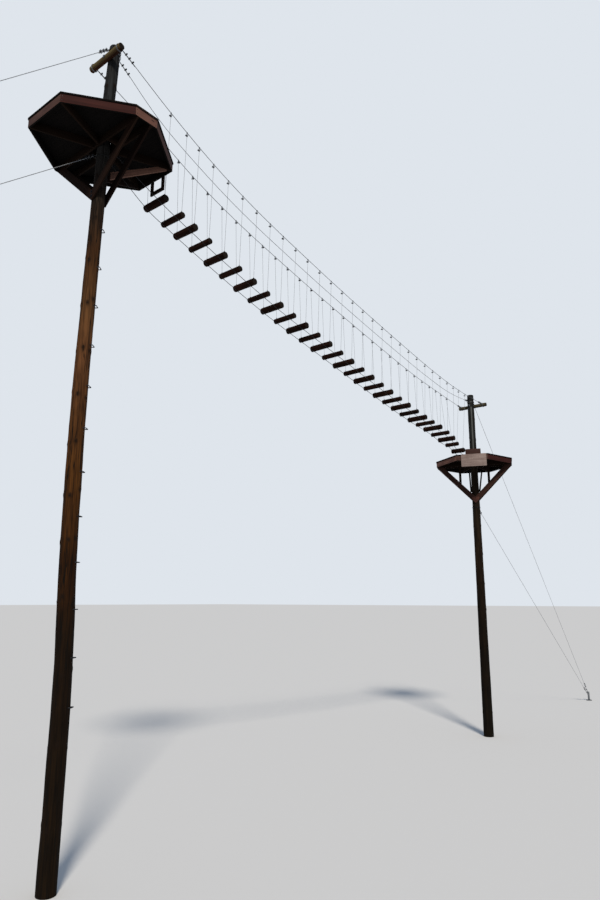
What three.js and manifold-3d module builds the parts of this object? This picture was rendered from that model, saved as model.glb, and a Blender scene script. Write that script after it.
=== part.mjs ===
import * as THREE from "three";
import { mergeVertices } from "three/addons/utils/BufferGeometryUtils.js";
import Module from "manifold-3d";

// A log-tread suspension footbridge between two round wooden poles. Each pole carries an
// eight-sided platform on V-shaped knee braces, and a crossarm that holds the suspension cables.
// The row is a half-size model: every dimension below is the real size in metres, and M turns
// it into model millimetres. +X runs along the bridge from the tall pole to the short one,
// +Z is up, and the origin is the centre of the tall pole's foot.
const MODEL_SCALE = 0.5;
const M = 1000 * MODEL_SCALE;
const GAP = 0.3 / M; // clearance between pieces that touch: 0.3 mm in the model

// Poles
const SPAN = 19.525; // between the pole centres at the foot
const LEFT_POLE = { height: 18.53, footRadius: 0.19, topRadius: 0.136, sides: 24 };
const RIGHT_POLE = { height: 14.3, footRadius: 0.2, topRadius: 0.134, sides: 24 };
// the tall pole is a naturally bowed log: [height, offset of its centre towards the bridge]
const LEFT_BOW = [
  [0, 0],
  [3.6, 0.02],
  [6.2, -0.06],
  [9.0, -0.08],
  [11.8, -0.035],
  [14.2, 0.025],
  [16.2, 0.08],
  [18.6, 0.19],
];

// Crossarms, on the outboard side of each pole
const ARM_RADIUS = 0.08;
const ARM_NOTCH = 0.02; // how far the arm is let into the pole
const LEFT_ARM = { height: 18.1, length: 1.2, shift: 0.01 }; // shift: to the far side
const RIGHT_ARM = { height: 13.82, length: 1.28, shift: 0 };
const ARM_LOOP_OFFSET = 0.5; // each suspension cable's loop, from the pole's centre line

// Platforms
const PLATFORM = {
  endHalf: 1.56, // centre to an end side
  endSideHalf: 0.65, // half the length of an end side
  flatHalf: 1.6, // centre to a side flat
  flatSideHalf: 0.3, // half the length of a side flat
  plank: 0.045,
  overhang: 0.018, // of the planks over the rim boards
  rimThickness: 0.042,
  rimDepth: 0.2, // the joists have the same depth
  joistThickness: 0.045,
  braceThickness: 0.042,
  braceDepth: 0.2,
  braceTip: 1.575, // the brace's outer tip under the rim, from the centre
  holeMargin: 0.015, // of the deck's hole over the beams' bearing radius
  blockOffset: 0.4, // of the blocks between the beams
};
const POLE_CLEARANCE = { left: 0.018, right: 0.006 }; // beams to pole, for its bow and taper
const LEFT_DECK_TOP = 15.86;
const LEFT_BRACE_FOOT = 14.2; // the V's lowest point
const RIGHT_DECK_TOP = 11.3;
const RIGHT_BRACE_FOOT = 9.42;
const RIGHT_TURN = THREE.MathUtils.degToRad(22); // the far platform is turned on its pole
const END_BRACE = { thickness: 0.045, depth: 0.17, foot: 15.0, reach: 1.5, gap: 0.03, tip: 0.02 };
const THIN_BRACE = { thickness: 0.065, foot: 9.95, reach: 1.5, spread: 0.29, notch: 0.006 };
const POST = { thickness: 0.1, offset: 0.6 };

// Hanging step on the tall pole's platform, landing panel and step box on the far one
const HANGING_STEP = { width: 0.5, offset: -0.06, leg: 0.085, thickness: 0.045, drop: 0.34 };
const LANDING_PANEL = { width: 1.02, height: 0.52, thickness: 0.02, offset: -0.07 };
const STEP_BOX = { width: 0.62, depth: 0.22, height: 0.27, inset: 0.24, offset: -0.04 };

// Treads: round logs with a narrow sawn flat on top, thick and slim ones in turn
const TREAD = {
  thick: 0.098, // radius of the first, third, fifth log and so on
  slim: 0.082,
  flat: 0.014, // how deep the flat is cut
  edge: 0.02, // rounding of the ends
  rise: -0.02, // of a log's centre over the treads' line
  length: 0.78,
  nextLength: 0.72,
  shortLength: 0.56,
};
const SHORT_TREADS = 2; // the last two, over the far platform's edge
// the treads' line: [along the bridge, height]
const TREAD_LINE = [
  [1.66, 15.04],
  [2.66, 14.71],
  [4.33, 14.23],
  [6.1, 13.78],
  [9.11, 13.19],
  [12.2, 12.61],
  [14.63, 12.21],
  [15.89, 12.07],
  [17.03, 11.84],
  [18.06, 11.52],
];
const TREAD_COUNT = 29;
const TREAD_PITCH = 0.622; // along the slope
const STEEP_PITCH = 0.604; // where the bridge is steeper
const STEEP_TREADS = 6;
const FIRST_PITCHES = [0.59, 0.46, 0.55, 0.59]; // the uneven ones at the tall pole
const LAST_PITCHES = [0.56, 0.5, 0.57];

// Cables: radius is the real one
const CABLE = { main: 0.0075, foot: 0.0075, belay: 0.0065, hanger: 0.004, guy: 0.0075 };
const HANGER_FOOT = 0.335; // from the centre line, on a full tread
const HANGER_TOP = 0.42;
const HANGER_INSET = 0.055; // from a short tread's end
const FOOT_CABLE_OFFSET = 0.26;
const CABLE_SLACK = 0.008; // between the foot cables and a thick log's underside
const SHORT_TREAD_CABLE = 0.12; // the foot cables draw together over the far platform
const MAIN_LINE = [
  [1.66, 17.42],
  [3.2, 16.78],
  [4.84, 16.26],
  [7.6, 15.62],
  [9.8, 15.17],
  [12.5, 14.67],
  [15.4, 14.19],
  [17.4, 13.97],
];
const BELAY = { leftHeight: 18.27, rightHeight: 13.97, drop: 0.03 };
const LEFT_FOOT_ANCHOR = { offset: 0.15, height: 15.58 };
const RIGHT_FOOT_ANCHOR = { height: 11.37, rise: 0.03 };

// Back guys and their ground anchors
const LEFT_GUYS = { high: 18.4, low: 15.4, anchor: -17.4 };
const RIGHT_GUYS = { high: 14.12, low: 9.25, anchor: 32.7 };
const ANCHOR = { radius: 0.05, height: 0.45, highEye: 0.37, lowEye: 0.28, foot: 0.15, footHeight: 0.04 };

const wasm = await Module();
wasm.setup();

// A geometry's closed surface as a solid that can be joined and cut.
function solid(geometry) {
  const bare = geometry.index ? geometry.toNonIndexed() : geometry.clone();
  bare.deleteAttribute("normal");
  bare.deleteAttribute("uv");
  const merged = mergeVertices(bare, 1e-4);
  return new wasm.Manifold(
    new wasm.Mesh({
      numProp: 3,
      vertProperties: merged.attributes.position.array,
      triVerts: new Uint32Array(merged.index.array),
    }),
  );
}

function joined(solids) {
  return solids.reduce((sum, next) => sum.add(next));
}

function geometryOf(made) {
  const { vertProperties, triVerts } = made.getMesh();
  const geometry = new THREE.BufferGeometry();
  geometry.setAttribute("position", new THREE.BufferAttribute(vertProperties, 3));
  geometry.setIndex(new THREE.BufferAttribute(triVerts, 1));
  geometry.computeVertexNormals();
  return geometry;
}

const vec = (x, y, z) => new THREE.Vector3(x * M, y * M, z * M);

// A box between two corners, in metres.
function box([x0, y0, z0], [x1, y1, z1]) {
  const geometry = new THREE.BoxGeometry((x1 - x0) * M, (y1 - y0) * M, (z1 - z0) * M);
  return solid(geometry.translate(((x0 + x1) / 2) * M, ((y0 + y1) / 2) * M, ((z0 + z1) / 2) * M));
}

// A round bar between two points, in metres; a long one is made in several lengths.
function bar(from, to, radius, sides = 8, lengths = 1) {
  const start = vec(...from);
  const along = vec(...to).sub(start);
  const size = [radius * M, radius * M, along.length(), sides, lengths];
  const geometry = new THREE.CylinderGeometry(...size);
  const turn = new THREE.Quaternion().setFromUnitVectors(
    new THREE.Vector3(0, 1, 0),
    along.clone().normalize(),
  );
  geometry.applyQuaternion(turn);
  return solid(geometry.translate(...start.addScaledVector(along, 0.5).toArray()));
}

// A plank stood on edge: an outline in its own plane (distance outwards, height), extruded
// by its thickness, centred on a line that leaves the origin at the given heading.
function plank(outline, thickness, heading = 0) {
  const shape = new THREE.Shape(outline.map(([r, z]) => new THREE.Vector2(r * M, z * M)));
  const geometry = new THREE.ExtrudeGeometry(shape, { depth: thickness * M, bevelEnabled: false });
  geometry.translate(0, 0, (-thickness / 2) * M);
  geometry.rotateX(Math.PI / 2); // the outline's second axis now points up
  return solid(geometry.rotateZ(heading));
}

// A flat plate: an outline in plan, between two heights.
function plate(outline, low, high, holeRadius = 0) {
  const shape = new THREE.Shape(outline.map(([x, y]) => new THREE.Vector2(x * M, y * M)));
  if (holeRadius) {
    const hole = new THREE.Path();
    hole.absarc(0, 0, holeRadius * M, 0, 2 * Math.PI, true);
    shape.holes.push(hole);
  }
  const geometry = new THREE.ExtrudeGeometry(shape, {
    depth: (high - low) * M,
    bevelEnabled: false,
    curveSegments: 12,
  });
  return solid(geometry.translate(0, 0, low * M));
}

// A cable's end is wound round a log: one ring, thicker than the cable, stands for the turns.
const RING = { segments: 20, sides: 6, bulk: 1.35, slack: 0.0008, turn: 0.1 };

// The centre-line radius of a ring that clears a round log; the slack is for taper and lean.
function ringRadius(held, cableRadius) {
  return (held + GAP + RING.slack) / Math.cos(Math.PI / RING.segments) + RING.bulk * cableRadius;
}

// A ring of cable round a pole (axis z) or a crossarm (axis y).
function loop(centre, axis, radius, cableRadius) {
  const tube = RING.bulk * cableRadius * M;
  const geometry = new THREE.TorusGeometry(radius * M, tube, RING.sides, RING.segments);
  geometry.rotateZ(RING.turn); // so that the cable doesn't leave exactly at a seam
  if (axis === "y") geometry.rotateX(Math.PI / 2);
  return solid(geometry.translate(...vec(...centre).toArray()));
}

// A cable along a smooth line through the points, in metres.
function cable(points, radius, steps) {
  const sides = 8;
  const section = new THREE.Shape();
  section.absarc(0, 0, radius * M, 0, 2 * Math.PI);
  const path = new THREE.CatmullRomCurve3(points.map((p) => vec(...p)));
  const geometry = new THREE.ExtrudeGeometry(section, {
    steps,
    curveSegments: sides / 2,
    extrudePath: path,
    bevelEnabled: false,
  });
  return solid(geometry);
}

// A smooth curve through [x, z] pairs in the bridge's middle plane.
function profile(pairs) {
  return new THREE.CatmullRomCurve3(pairs.map(([x, z]) => new THREE.Vector3(x, 0, z)));
}

// The height of a profile above a place along the bridge.
function heightAt(curve, x) {
  let low = 0;
  let high = 1;
  for (let i = 0; i < 30; i++) {
    const middle = (low + high) / 2;
    if (curve.getPoint(middle).x < x) low = middle;
    else high = middle;
  }
  return curve.getPoint(low).z;
}

const bowCurve = profile(LEFT_BOW.map(([height, offset]) => [height, offset]));
const leftBow = (height) => heightAt(bowCurve, Math.min(height, LEFT_POLE.height));
const poleRadius = (pole, height) =>
  THREE.MathUtils.lerp(pole.footRadius, pole.topRadius, height / pole.height);

const group = new THREE.Group();

const materials = {
  poleWood: { color: 0x5a3a20, roughness: 0.85, metalness: 0 },
  armWood: { color: 0x5b5138, roughness: 0.85, metalness: 0 },
  deckWood: { color: 0x4a3026, roughness: 0.85, metalness: 0 },
  rimWood: { color: 0x6b4038, roughness: 0.8, metalness: 0 },
  braceWood: { color: 0x553126, roughness: 0.8, metalness: 0 },
  treadWood: { color: 0x33261e, roughness: 0.9, metalness: 0 },
  panelWood: { color: 0x94806f, roughness: 0.85, metalness: 0 },
  cableSteel: { color: 0x6f7275, roughness: 0.45, metalness: 0.9 },
};
for (const [name, values] of Object.entries(materials))
  materials[name] = new THREE.MeshStandardMaterial(values);

function put(name, made, material, parent = group) {
  const mesh = new THREE.Mesh(geometryOf(made), materials[material]);
  mesh.name = name;
  parent.add(mesh);
  return mesh;
}

// A tapered pole; its centre follows the offset function.
function pole(size, offset) {
  const rings = 12;
  const outline = [new THREE.Vector2(0, 0)];
  for (let i = 0; i <= rings; i++) {
    const height = (size.height * i) / rings;
    outline.push(new THREE.Vector2(poleRadius(size, height) * M, height * M));
  }
  outline.push(new THREE.Vector2(0, size.height * M));
  const geometry = new THREE.LatheGeometry(outline, size.sides).rotateX(Math.PI / 2);
  const position = geometry.attributes.position;
  for (let i = 0; i < position.count; i++)
    position.setX(i, position.getX(i) + offset(position.getZ(i) / M) * M);
  return solid(geometry);
}

// Crossarm on the outboard side; side is -1 at the tall pole and 1 at the far one.
function armCentre(side) {
  const [poleSize, arm] = side < 0 ? [LEFT_POLE, LEFT_ARM] : [RIGHT_POLE, RIGHT_ARM];
  const poleX = side < 0 ? leftBow(arm.height) : SPAN;
  const reach = poleRadius(poleSize, arm.height) + ARM_RADIUS - ARM_NOTCH;
  return poleX + side * reach;
}

// The arm is a round log, hollowed where it bears on the pole.
function crossarm(side) {
  const [size, arm] = side < 0 ? [LEFT_POLE, LEFT_ARM] : [RIGHT_POLE, RIGHT_ARM];
  const x = armCentre(side);
  const endAt = (end) => [x, arm.shift + (end * arm.length) / 2, arm.height];
  const log = bar(endAt(-1), endAt(1), ARM_RADIUS, 16);
  const poleAt = (height) => [side < 0 ? leftBow(height) : SPAN, 0, height];
  const low = arm.height - 2 * ARM_RADIUS;
  const high = arm.height + 2 * ARM_RADIUS;
  return log.subtract(bar(poleAt(low), poleAt(high), poleRadius(size, low) + 2 * GAP, 24));
}

// The platform's outline in plan, moved inwards by inset.
function octagon(inset) {
  const { endHalf, endSideHalf, flatHalf, flatSideHalf } = PLATFORM;
  const slope = new THREE.Vector2(endHalf - flatSideHalf, flatHalf - endSideHalf);
  const half = slope.length();
  // a corner between an axis side and a diagonal moves along both when the sides move in
  const alongEnd = (inset * (half - slope.x)) / slope.y;
  const alongFlat = (inset * (half - slope.y)) / slope.x;
  const ex = endHalf - inset;
  const ey = endSideHalf - alongEnd;
  const fx = flatSideHalf - alongFlat;
  const fy = flatHalf - inset;
  return [
    [ex, -ey],
    [ex, ey],
    [fx, fy],
    [-fx, fy],
    [-ex, ey],
    [-ex, -ey],
    [-fx, -fy],
    [fx, -fy],
  ];
}

// The bottom of a platform's rim and joists.
const underside = (deckTop) => deckTop - PLATFORM.plank - GAP - PLATFORM.rimDepth;
const cornerHeading = Math.atan2(PLATFORM.endSideHalf, PLATFORM.endHalf);

// Beams on both faces of the pole, joists out to the four end corners, and blocks between.
function joistFrame(deckTop, poleR) {
  const { joistThickness: t, rimThickness, overhang, blockOffset } = PLATFORM;
  const high = deckTop - PLATFORM.plank - GAP;
  const low = underside(deckTop);
  const beam = (x) => box([x - t / 2, -PLATFORM.flatHalf, low], [x + t / 2, PLATFORM.flatHalf, high]);
  const beamX = poleR + GAP + t / 2;
  const inner = poleR + GAP + t;
  const joists = [cornerHeading, -cornerHeading, Math.PI - cornerHeading, Math.PI + cornerHeading];
  const pieces = joists.map((heading) => {
    const start = inner / Math.cos(cornerHeading) - t / 2;
    return plank([[start, low], [1.9, low], [1.9, high], [start, high]], t, heading);
  });
  const block = (y) => box([-beamX, y - t / 2, low], [beamX, y + t / 2, high]);
  pieces.push(beam(beamX), beam(-beamX), block(blockOffset), block(-blockOffset));
  const inside = plate(octagon(overhang + rimThickness + GAP), low - 0.01, high + 0.01);
  return joined(pieces).intersect(inside);
}

// The knee braces' lower edge climbs from the foot to the tip under the rim; deep is the
// board's depth measured upwards.
function braceLine(deckTop, foot) {
  const top = underside(deckTop) - GAP;
  const climb = (top - foot) / PLATFORM.braceTip;
  return { top, climb, deep: PLATFORM.braceDepth * Math.hypot(1, climb) };
}

// Two boards that meet in a V on one face of the pole; face is -1 or 1 along the platform, and
// bearing is the boards' distance from the platform's centre.
function braceV(face, deckTop, foot, bearing) {
  const { braceThickness: t, braceTip: tip } = PLATFORM;
  const { top, climb, deep } = braceLine(deckTop, foot);
  const inner = tip - deep / climb;
  const outline = [
    [0, foot],
    [tip, top],
    [inner, top],
    [0, foot + deep],
    [-inner, top],
    [-tip, top],
  ];
  const board = plank(outline, t, Math.PI / 2);
  return board.translate([face * (bearing + GAP + t / 2) * M, 0, 0]);
}

// How far a pole's surface reaches beyond a centre between two heights, towards one face.
function poleReach(size, centreAt, centre, face, low, high) {
  const reaches = [];
  for (let share = 0; share <= 1; share += 0.125) {
    const height = THREE.MathUtils.lerp(low, high, share);
    reaches.push(face * (centreAt(height) - centre) + poleRadius(size, height));
  }
  return Math.max(...reaches);
}

function platform(side, frame, deckTop, foot, poleR) {
  const [prefix, size] = side < 0 ? ["left", LEFT_POLE] : ["right", RIGHT_POLE];
  const centreAt = side < 0 ? leftBow : () => SPAN;
  const { plank: deck, rimDepth, overhang, rimThickness } = PLATFORM;
  put(
    prefix + "_deck",
    plate(octagon(0), deckTop - deck, deckTop, poleR + PLATFORM.holeMargin),
    "deckWood",
    frame,
  );
  const rimTop = deckTop - deck - GAP;
  const rim = plate(octagon(overhang), rimTop - rimDepth, rimTop).subtract(
    plate(octagon(overhang + rimThickness), rimTop - rimDepth - 1, rimTop + 1),
  );
  put(prefix + "_rim", rim, "rimWood", frame);
  for (const [face, name] of [[-side, "_brace_bridge_side"], [side, "_brace_outer_side"]]) {
    const crossing = foot + 2 * braceLine(deckTop, foot).deep; // the V leaves the pole below here
    const bearing = poleReach(size, centreAt, centreAt(deckTop), face, foot, crossing);
    put(prefix + name, braceV(face, deckTop, foot, bearing), "braceWood", frame);
  }
}

// The tall pole and its platform
put("left_pole", pole(LEFT_POLE, leftBow), "poleWood");
put("left_crossarm", crossarm(-1), "armWood");

const leftFrame = new THREE.Group();
leftFrame.position.set(leftBow(LEFT_DECK_TOP) * M, 0, 0);
group.add(leftFrame);
const leftPoleR = poleRadius(LEFT_POLE, LEFT_DECK_TOP) + POLE_CLEARANCE.left;
platform(-1, leftFrame, LEFT_DECK_TOP, LEFT_BRACE_FOOT, leftPoleR);
put("left_joists", joistFrame(LEFT_DECK_TOP, leftPoleR), "braceWood", leftFrame);

// Boards that rise from the pole to the bridge-side corners of the tall platform
function endBrace(heading) {
  const { thickness, depth, foot, reach, gap, tip } = END_BRACE;
  const top = underside(LEFT_DECK_TOP) - GAP;
  const start = leftPoleR + gap;
  const slope = Math.atan2(top - foot, reach - start);
  const rise = depth / Math.cos(slope);
  const outline = [
    [start, foot - rise / 2],
    [reach + tip, top - gap],
    [reach + tip, top],
    [reach - rise / 2 / Math.tan(slope), top],
    [start, foot + rise / 2],
  ];
  return plank(outline, thickness, heading);
}
put("left_end_brace_near", endBrace(-cornerHeading), "braceWood", leftFrame);
put("left_end_brace_far", endBrace(cornerHeading), "braceWood", leftFrame);

// The U-shaped step that hangs on the tall platform's bridge-side end
function hangingStep() {
  const { width, offset, leg, thickness, drop } = HANGING_STEP;
  const face = PLATFORM.endHalf - PLATFORM.overhang + GAP;
  const high = LEFT_DECK_TOP - PLATFORM.plank - 2 * GAP;
  const low = high - PLATFORM.rimDepth - drop + leg;
  const side = (y) => box([face, y, low], [face + thickness, y + leg, high]);
  const left = offset - width / 2;
  const rung = box([face, left, low - leg], [face + thickness, left + width, low]);
  return joined([side(left), side(left + width - leg), rung]);
}
put("left_hanging_step", hangingStep(), "braceWood", leftFrame);

// The far pole and its platform
put("right_pole", pole(RIGHT_POLE, () => SPAN), "poleWood");
put("right_crossarm", crossarm(1), "armWood");

const rightFrame = new THREE.Group();
rightFrame.position.set(SPAN * M, 0, 0);
rightFrame.rotation.z = RIGHT_TURN;
group.add(rightFrame);
const rightPoleR = poleRadius(RIGHT_POLE, RIGHT_DECK_TOP) + POLE_CLEARANCE.right;
platform(1, rightFrame, RIGHT_DECK_TOP, RIGHT_BRACE_FOOT, rightPoleR);

// Short posts stand on the braces under the far platform's beams.
function rightJoists() {
  const low = underside(RIGHT_DECK_TOP);
  const { climb, deep } = braceLine(RIGHT_DECK_TOP, RIGHT_BRACE_FOOT);
  const braceTop = (y) => RIGHT_BRACE_FOOT + y * climb + deep;
  const half = POST.thickness / 2;
  const x = -(poleRadius(RIGHT_POLE, RIGHT_BRACE_FOOT) + PLATFORM.braceThickness / 2);
  const post = (side) => {
    const inner = side * (POST.offset - half);
    const outer = side * (POST.offset + half);
    const outline = [
      [inner, braceTop(POST.offset - half) + 0.004],
      [outer, braceTop(POST.offset + half) + 0.004],
      [outer, low + 0.05],
      [inner, low + 0.05],
    ];
    if (side < 0) outline.reverse();
    return plank(outline, PLATFORM.braceThickness, Math.PI / 2).translate([x * M, 0, 0]);
  };
  return joined([joistFrame(RIGHT_DECK_TOP, rightPoleR), post(1), post(-1)]);
}
put("right_joists", rightJoists(), "braceWood", rightFrame);

// Thin braces from the far pole's flanks to the outer end of its platform, each hollowed where
// it bears on the pole and cut off level under the rim
function thinBrace(side) {
  const { thickness, foot, reach, spread, notch } = THIN_BRACE;
  const top = underside(RIGHT_DECK_TOP) - GAP;
  const flank = poleRadius(RIGHT_POLE, foot) + thickness / 2 - notch;
  const end = [reach, side * spread, top + PLATFORM.rimDepth];
  const pole = bar([0, 0, foot - 1], [0, 0, top], poleRadius(RIGHT_POLE, foot) + GAP, 48);
  const above = box([-2, -2, top], [2, 2, top + 1]);
  return bar([0, side * flank, foot], end, thickness / 2).subtract(pole).subtract(above);
}
put("right_thin_brace_near", thinBrace(-1), "braceWood", rightFrame);
put("right_thin_brace_far", thinBrace(1), "braceWood", rightFrame);

function landingPanel() {
  const { width, height, thickness, offset } = LANDING_PANEL;
  const face = -PLATFORM.endHalf - GAP;
  return box(
    [face - thickness, offset - width / 2, RIGHT_DECK_TOP - height],
    [face, offset + width / 2, RIGHT_DECK_TOP],
  );
}
put("right_landing_panel", landingPanel(), "panelWood", rightFrame);

function stepBox() {
  const { width, depth, height, inset, offset } = STEP_BOX;
  const near = -PLATFORM.endHalf + inset;
  const low = RIGHT_DECK_TOP + GAP;
  const left = offset - width / 2;
  return box([near, left, low], [near + depth, left + width, low + height]);
}
put("right_step_box", stepBox(), "rimWood", rightFrame);

// Treads, spaced along their line
const treadLine = profile(TREAD_LINE);
function treadPlaces() {
  const first = [...FIRST_PITCHES, ...Array(STEEP_TREADS).fill(STEEP_PITCH)];
  const regular = TREAD_COUNT - 1 - first.length - LAST_PITCHES.length;
  const pitches = [...first, ...Array(regular).fill(TREAD_PITCH), ...LAST_PITCHES];
  const whole = treadLine.getLength();
  let along = 0;
  return [0, ...pitches].map((pitch, i) => {
    along += pitch;
    const share = Math.min(1, along / whole);
    const { x, z } = treadLine.getPointAt(share);
    const tangent = treadLine.getTangentAt(share);
    const radius = i % 2 ? TREAD.slim : TREAD.thick;
    const centre = z + TREAD.rise;
    return { x, centre, climb: tangent.z / tangent.x, radius, length: treadLength(i) };
  });
}
function treadLength(i) {
  if (i >= TREAD_COUNT - SHORT_TREADS) return TREAD.shortLength;
  return i === TREAD_COUNT - SHORT_TREADS - 1 ? TREAD.nextLength : TREAD.length;
}

function treadLog(length, radius) {
  const { flat, edge } = TREAD;
  const half = length / 2;
  const outline = [
    [0, -half],
    [radius - edge, -half],
    [radius - edge * 0.3, -half + edge * 0.3],
    [radius, -half + edge],
    [radius, half - edge],
    [radius - edge * 0.3, half - edge * 0.3],
    [radius - edge, half],
    [0, half],
  ];
  const points = outline.map(([r, y]) => new THREE.Vector2(r * M, y * M));
  const log = solid(new THREE.LatheGeometry(points, 16));
  return log.subtract(box([-1, -1, radius - flat], [1, 1, 1]));
}

const treads = treadPlaces();
treads.forEach(({ x, centre, length, radius }, i) => {
  const name = "tread_" + String(i + 1).padStart(2, "0");
  const mesh = put(name, treadLog(length, radius), "treadWood");
  mesh.position.copy(vec(x, 0, centre));
});

// Suspension cables with their hangers
function suspension(side) {
  const loopRadius = ringRadius(ARM_RADIUS, CABLE.main);
  const left = [armCentre(-1), side * ARM_LOOP_OFFSET, LEFT_ARM.height];
  const right = [armCentre(1), side * ARM_LOOP_OFFSET, RIGHT_ARM.height];
  const points = [
    [left[0] + loopRadius, left[1], left[2]],
    ...MAIN_LINE.map(([x, z]) => [x, side * HANGER_TOP, z]),
    [right[0] - loopRadius, right[1], right[2]],
  ];
  const path = new THREE.CatmullRomCurve3(points.map((p) => new THREE.Vector3(...p)));
  const hangers = treads.map(({ x, centre, length, radius }) => {
    const foot = length < TREAD.nextLength ? length / 2 - HANGER_INSET : HANGER_FOOT;
    const y = lateralAt(path, x);
    const top = [x, y, heightAt(path, x)];
    const low = centre + radius - TREAD.flat + 2 * GAP;
    return bar([x, side * foot, low], top, CABLE.hanger, 6);
  });
  return joined([
    cable(points, CABLE.main, 56),
    loop(left, "y", loopRadius, CABLE.main),
    loop(right, "y", loopRadius, CABLE.main),
    ...hangers,
  ]);
}

function lateralAt(curve, x) {
  const swapped = new THREE.CatmullRomCurve3(
    curve.points.map((p) => new THREE.Vector3(p.x, 0, p.y)),
  );
  return heightAt(swapped, x);
}
put("suspension_cable_near", suspension(-1), "cableSteel");
put("suspension_cable_far", suspension(1), "cableSteel");

// Belay cable between the poles, over the walkway
function belayCable() {
  const ringLeft = ringRadius(poleRadius(LEFT_POLE, BELAY.leftHeight), CABLE.belay);
  const ringRight = ringRadius(poleRadius(RIGHT_POLE, BELAY.rightHeight), CABLE.belay);
  const leftX = leftBow(BELAY.leftHeight);
  const points = [
    [leftX + ringLeft, 0, BELAY.leftHeight],
    ...MAIN_LINE.map(([x, z]) => [x, 0, z - BELAY.drop]),
    [SPAN - ringRight, 0, BELAY.rightHeight],
  ];
  return joined([
    cable(points, CABLE.belay, 56),
    loop([leftX, 0, BELAY.leftHeight], "z", ringLeft, CABLE.belay),
    loop([SPAN, 0, BELAY.rightHeight], "z", ringRight, CABLE.belay),
  ]);
}
put("belay_cable", belayCable(), "cableSteel");

// Foot cables under the treads
function footCable(side) {
  // the cable runs past a thick log at the bridge's slope, close under its round underside
  const below = (climb) => (TREAD.thick + CABLE.foot + CABLE_SLACK) * Math.hypot(1, climb);
  const ring = ringRadius(poleRadius(RIGHT_POLE, RIGHT_FOOT_ANCHOR.height), CABLE.foot);
  const ringHeight = RIGHT_FOOT_ANCHOR.height + (side > 0 ? RIGHT_FOOT_ANCHOR.rise : 0);
  const bearing = THREE.MathUtils.degToRad(40);
  const beamFace =
    leftBow(LEFT_DECK_TOP) + leftPoleR + GAP + PLATFORM.joistThickness + 2 * GAP;
  const points = [
    [beamFace, side * LEFT_FOOT_ANCHOR.offset, LEFT_FOOT_ANCHOR.height],
    ...treads.map(({ x, centre, climb, length }) => {
      const offset = length < TREAD.nextLength ? SHORT_TREAD_CABLE : FOOT_CABLE_OFFSET;
      return [x, side * offset, centre - below(climb)];
    }),
    [SPAN - ring * Math.cos(bearing), side * ring * Math.sin(bearing), ringHeight],
  ];
  return joined([
    cable(points, CABLE.foot, 62),
    loop([SPAN, 0, ringHeight], "z", ring, CABLE.foot),
  ]);
}
put("foot_cable_near", footCable(-1), "cableSteel");
put("foot_cable_far", footCable(1), "cableSteel");

// Back guys, down to one ground anchor at each end
function backGuys(side) {
  const [size, guys] = side < 0 ? [LEFT_POLE, LEFT_GUYS] : [RIGHT_POLE, RIGHT_GUYS];
  const guy = (height, eyeHeight) => {
    const x = side < 0 ? leftBow(height) : SPAN;
    const ring = ringRadius(poleRadius(size, height), CABLE.guy);
    return [
      loop([x, 0, height], "z", ring, CABLE.guy),
      bar([x + side * ring, 0, height], [guys.anchor, 0, eyeHeight], CABLE.guy, 8, 16),
    ];
  };
  return joined([
    ...guy(guys.high, ANCHOR.highEye),
    ...guy(guys.low, ANCHOR.lowEye),
    bar([guys.anchor, 0, 0], [guys.anchor, 0, ANCHOR.height], ANCHOR.radius, 10),
    bar([guys.anchor, 0, 0], [guys.anchor, 0, ANCHOR.footHeight], ANCHOR.foot, 18),
  ]);
}
put("left_back_guys", backGuys(-1), "cableSteel");
put("right_back_guys", backGuys(1), "cableSteel");

export default group;
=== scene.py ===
"""Log-tread suspension footbridge between two pole platforms, as a half-size model.

Every size in this file is the real bridge's, in metres, and piece() scales it to the model by M.
+X runs along the bridge from the tall pole to the short one, +Y is the far side, +Z is up.
"""

import math
import random

import bmesh
import bpy
from mathutils import Matrix, Quaternion, Vector, noise


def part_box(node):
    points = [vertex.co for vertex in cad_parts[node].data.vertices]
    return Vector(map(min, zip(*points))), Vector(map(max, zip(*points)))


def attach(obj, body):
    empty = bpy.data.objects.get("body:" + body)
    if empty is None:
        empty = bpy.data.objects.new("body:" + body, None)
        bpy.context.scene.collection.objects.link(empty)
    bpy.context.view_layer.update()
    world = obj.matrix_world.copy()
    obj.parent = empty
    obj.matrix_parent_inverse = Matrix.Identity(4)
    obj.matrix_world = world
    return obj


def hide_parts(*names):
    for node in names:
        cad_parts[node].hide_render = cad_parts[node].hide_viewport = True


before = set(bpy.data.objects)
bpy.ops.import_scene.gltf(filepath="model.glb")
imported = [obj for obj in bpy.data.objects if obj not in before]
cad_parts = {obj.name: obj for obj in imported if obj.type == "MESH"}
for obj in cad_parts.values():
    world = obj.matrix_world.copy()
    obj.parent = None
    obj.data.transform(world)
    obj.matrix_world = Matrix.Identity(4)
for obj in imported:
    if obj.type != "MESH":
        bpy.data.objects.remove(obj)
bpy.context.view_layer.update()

M = 0.5  # the model's scale
MM = 0.001 * M  # a real millimetre on the model
GAP = 0.0006  # clearance between pieces that touch, as in the solids
FINE_EASE = 0.003  # eased edge of planks and joists
CREASE = math.radians(35)
ACROSS = Vector((0, 1, 0))
UP = Vector((0, 0, 1))

# Camera, found from the treads and the poles in the photograph
EYE = Vector((-7.917, -12.418, 5.3))
HEADING = Vector((0.7771, 0.6294, 0.0))
PITCH = math.radians(12.553)
ROLL = math.radians(0.095)
LENS = 27.13
SENSOR = 36.0

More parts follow.
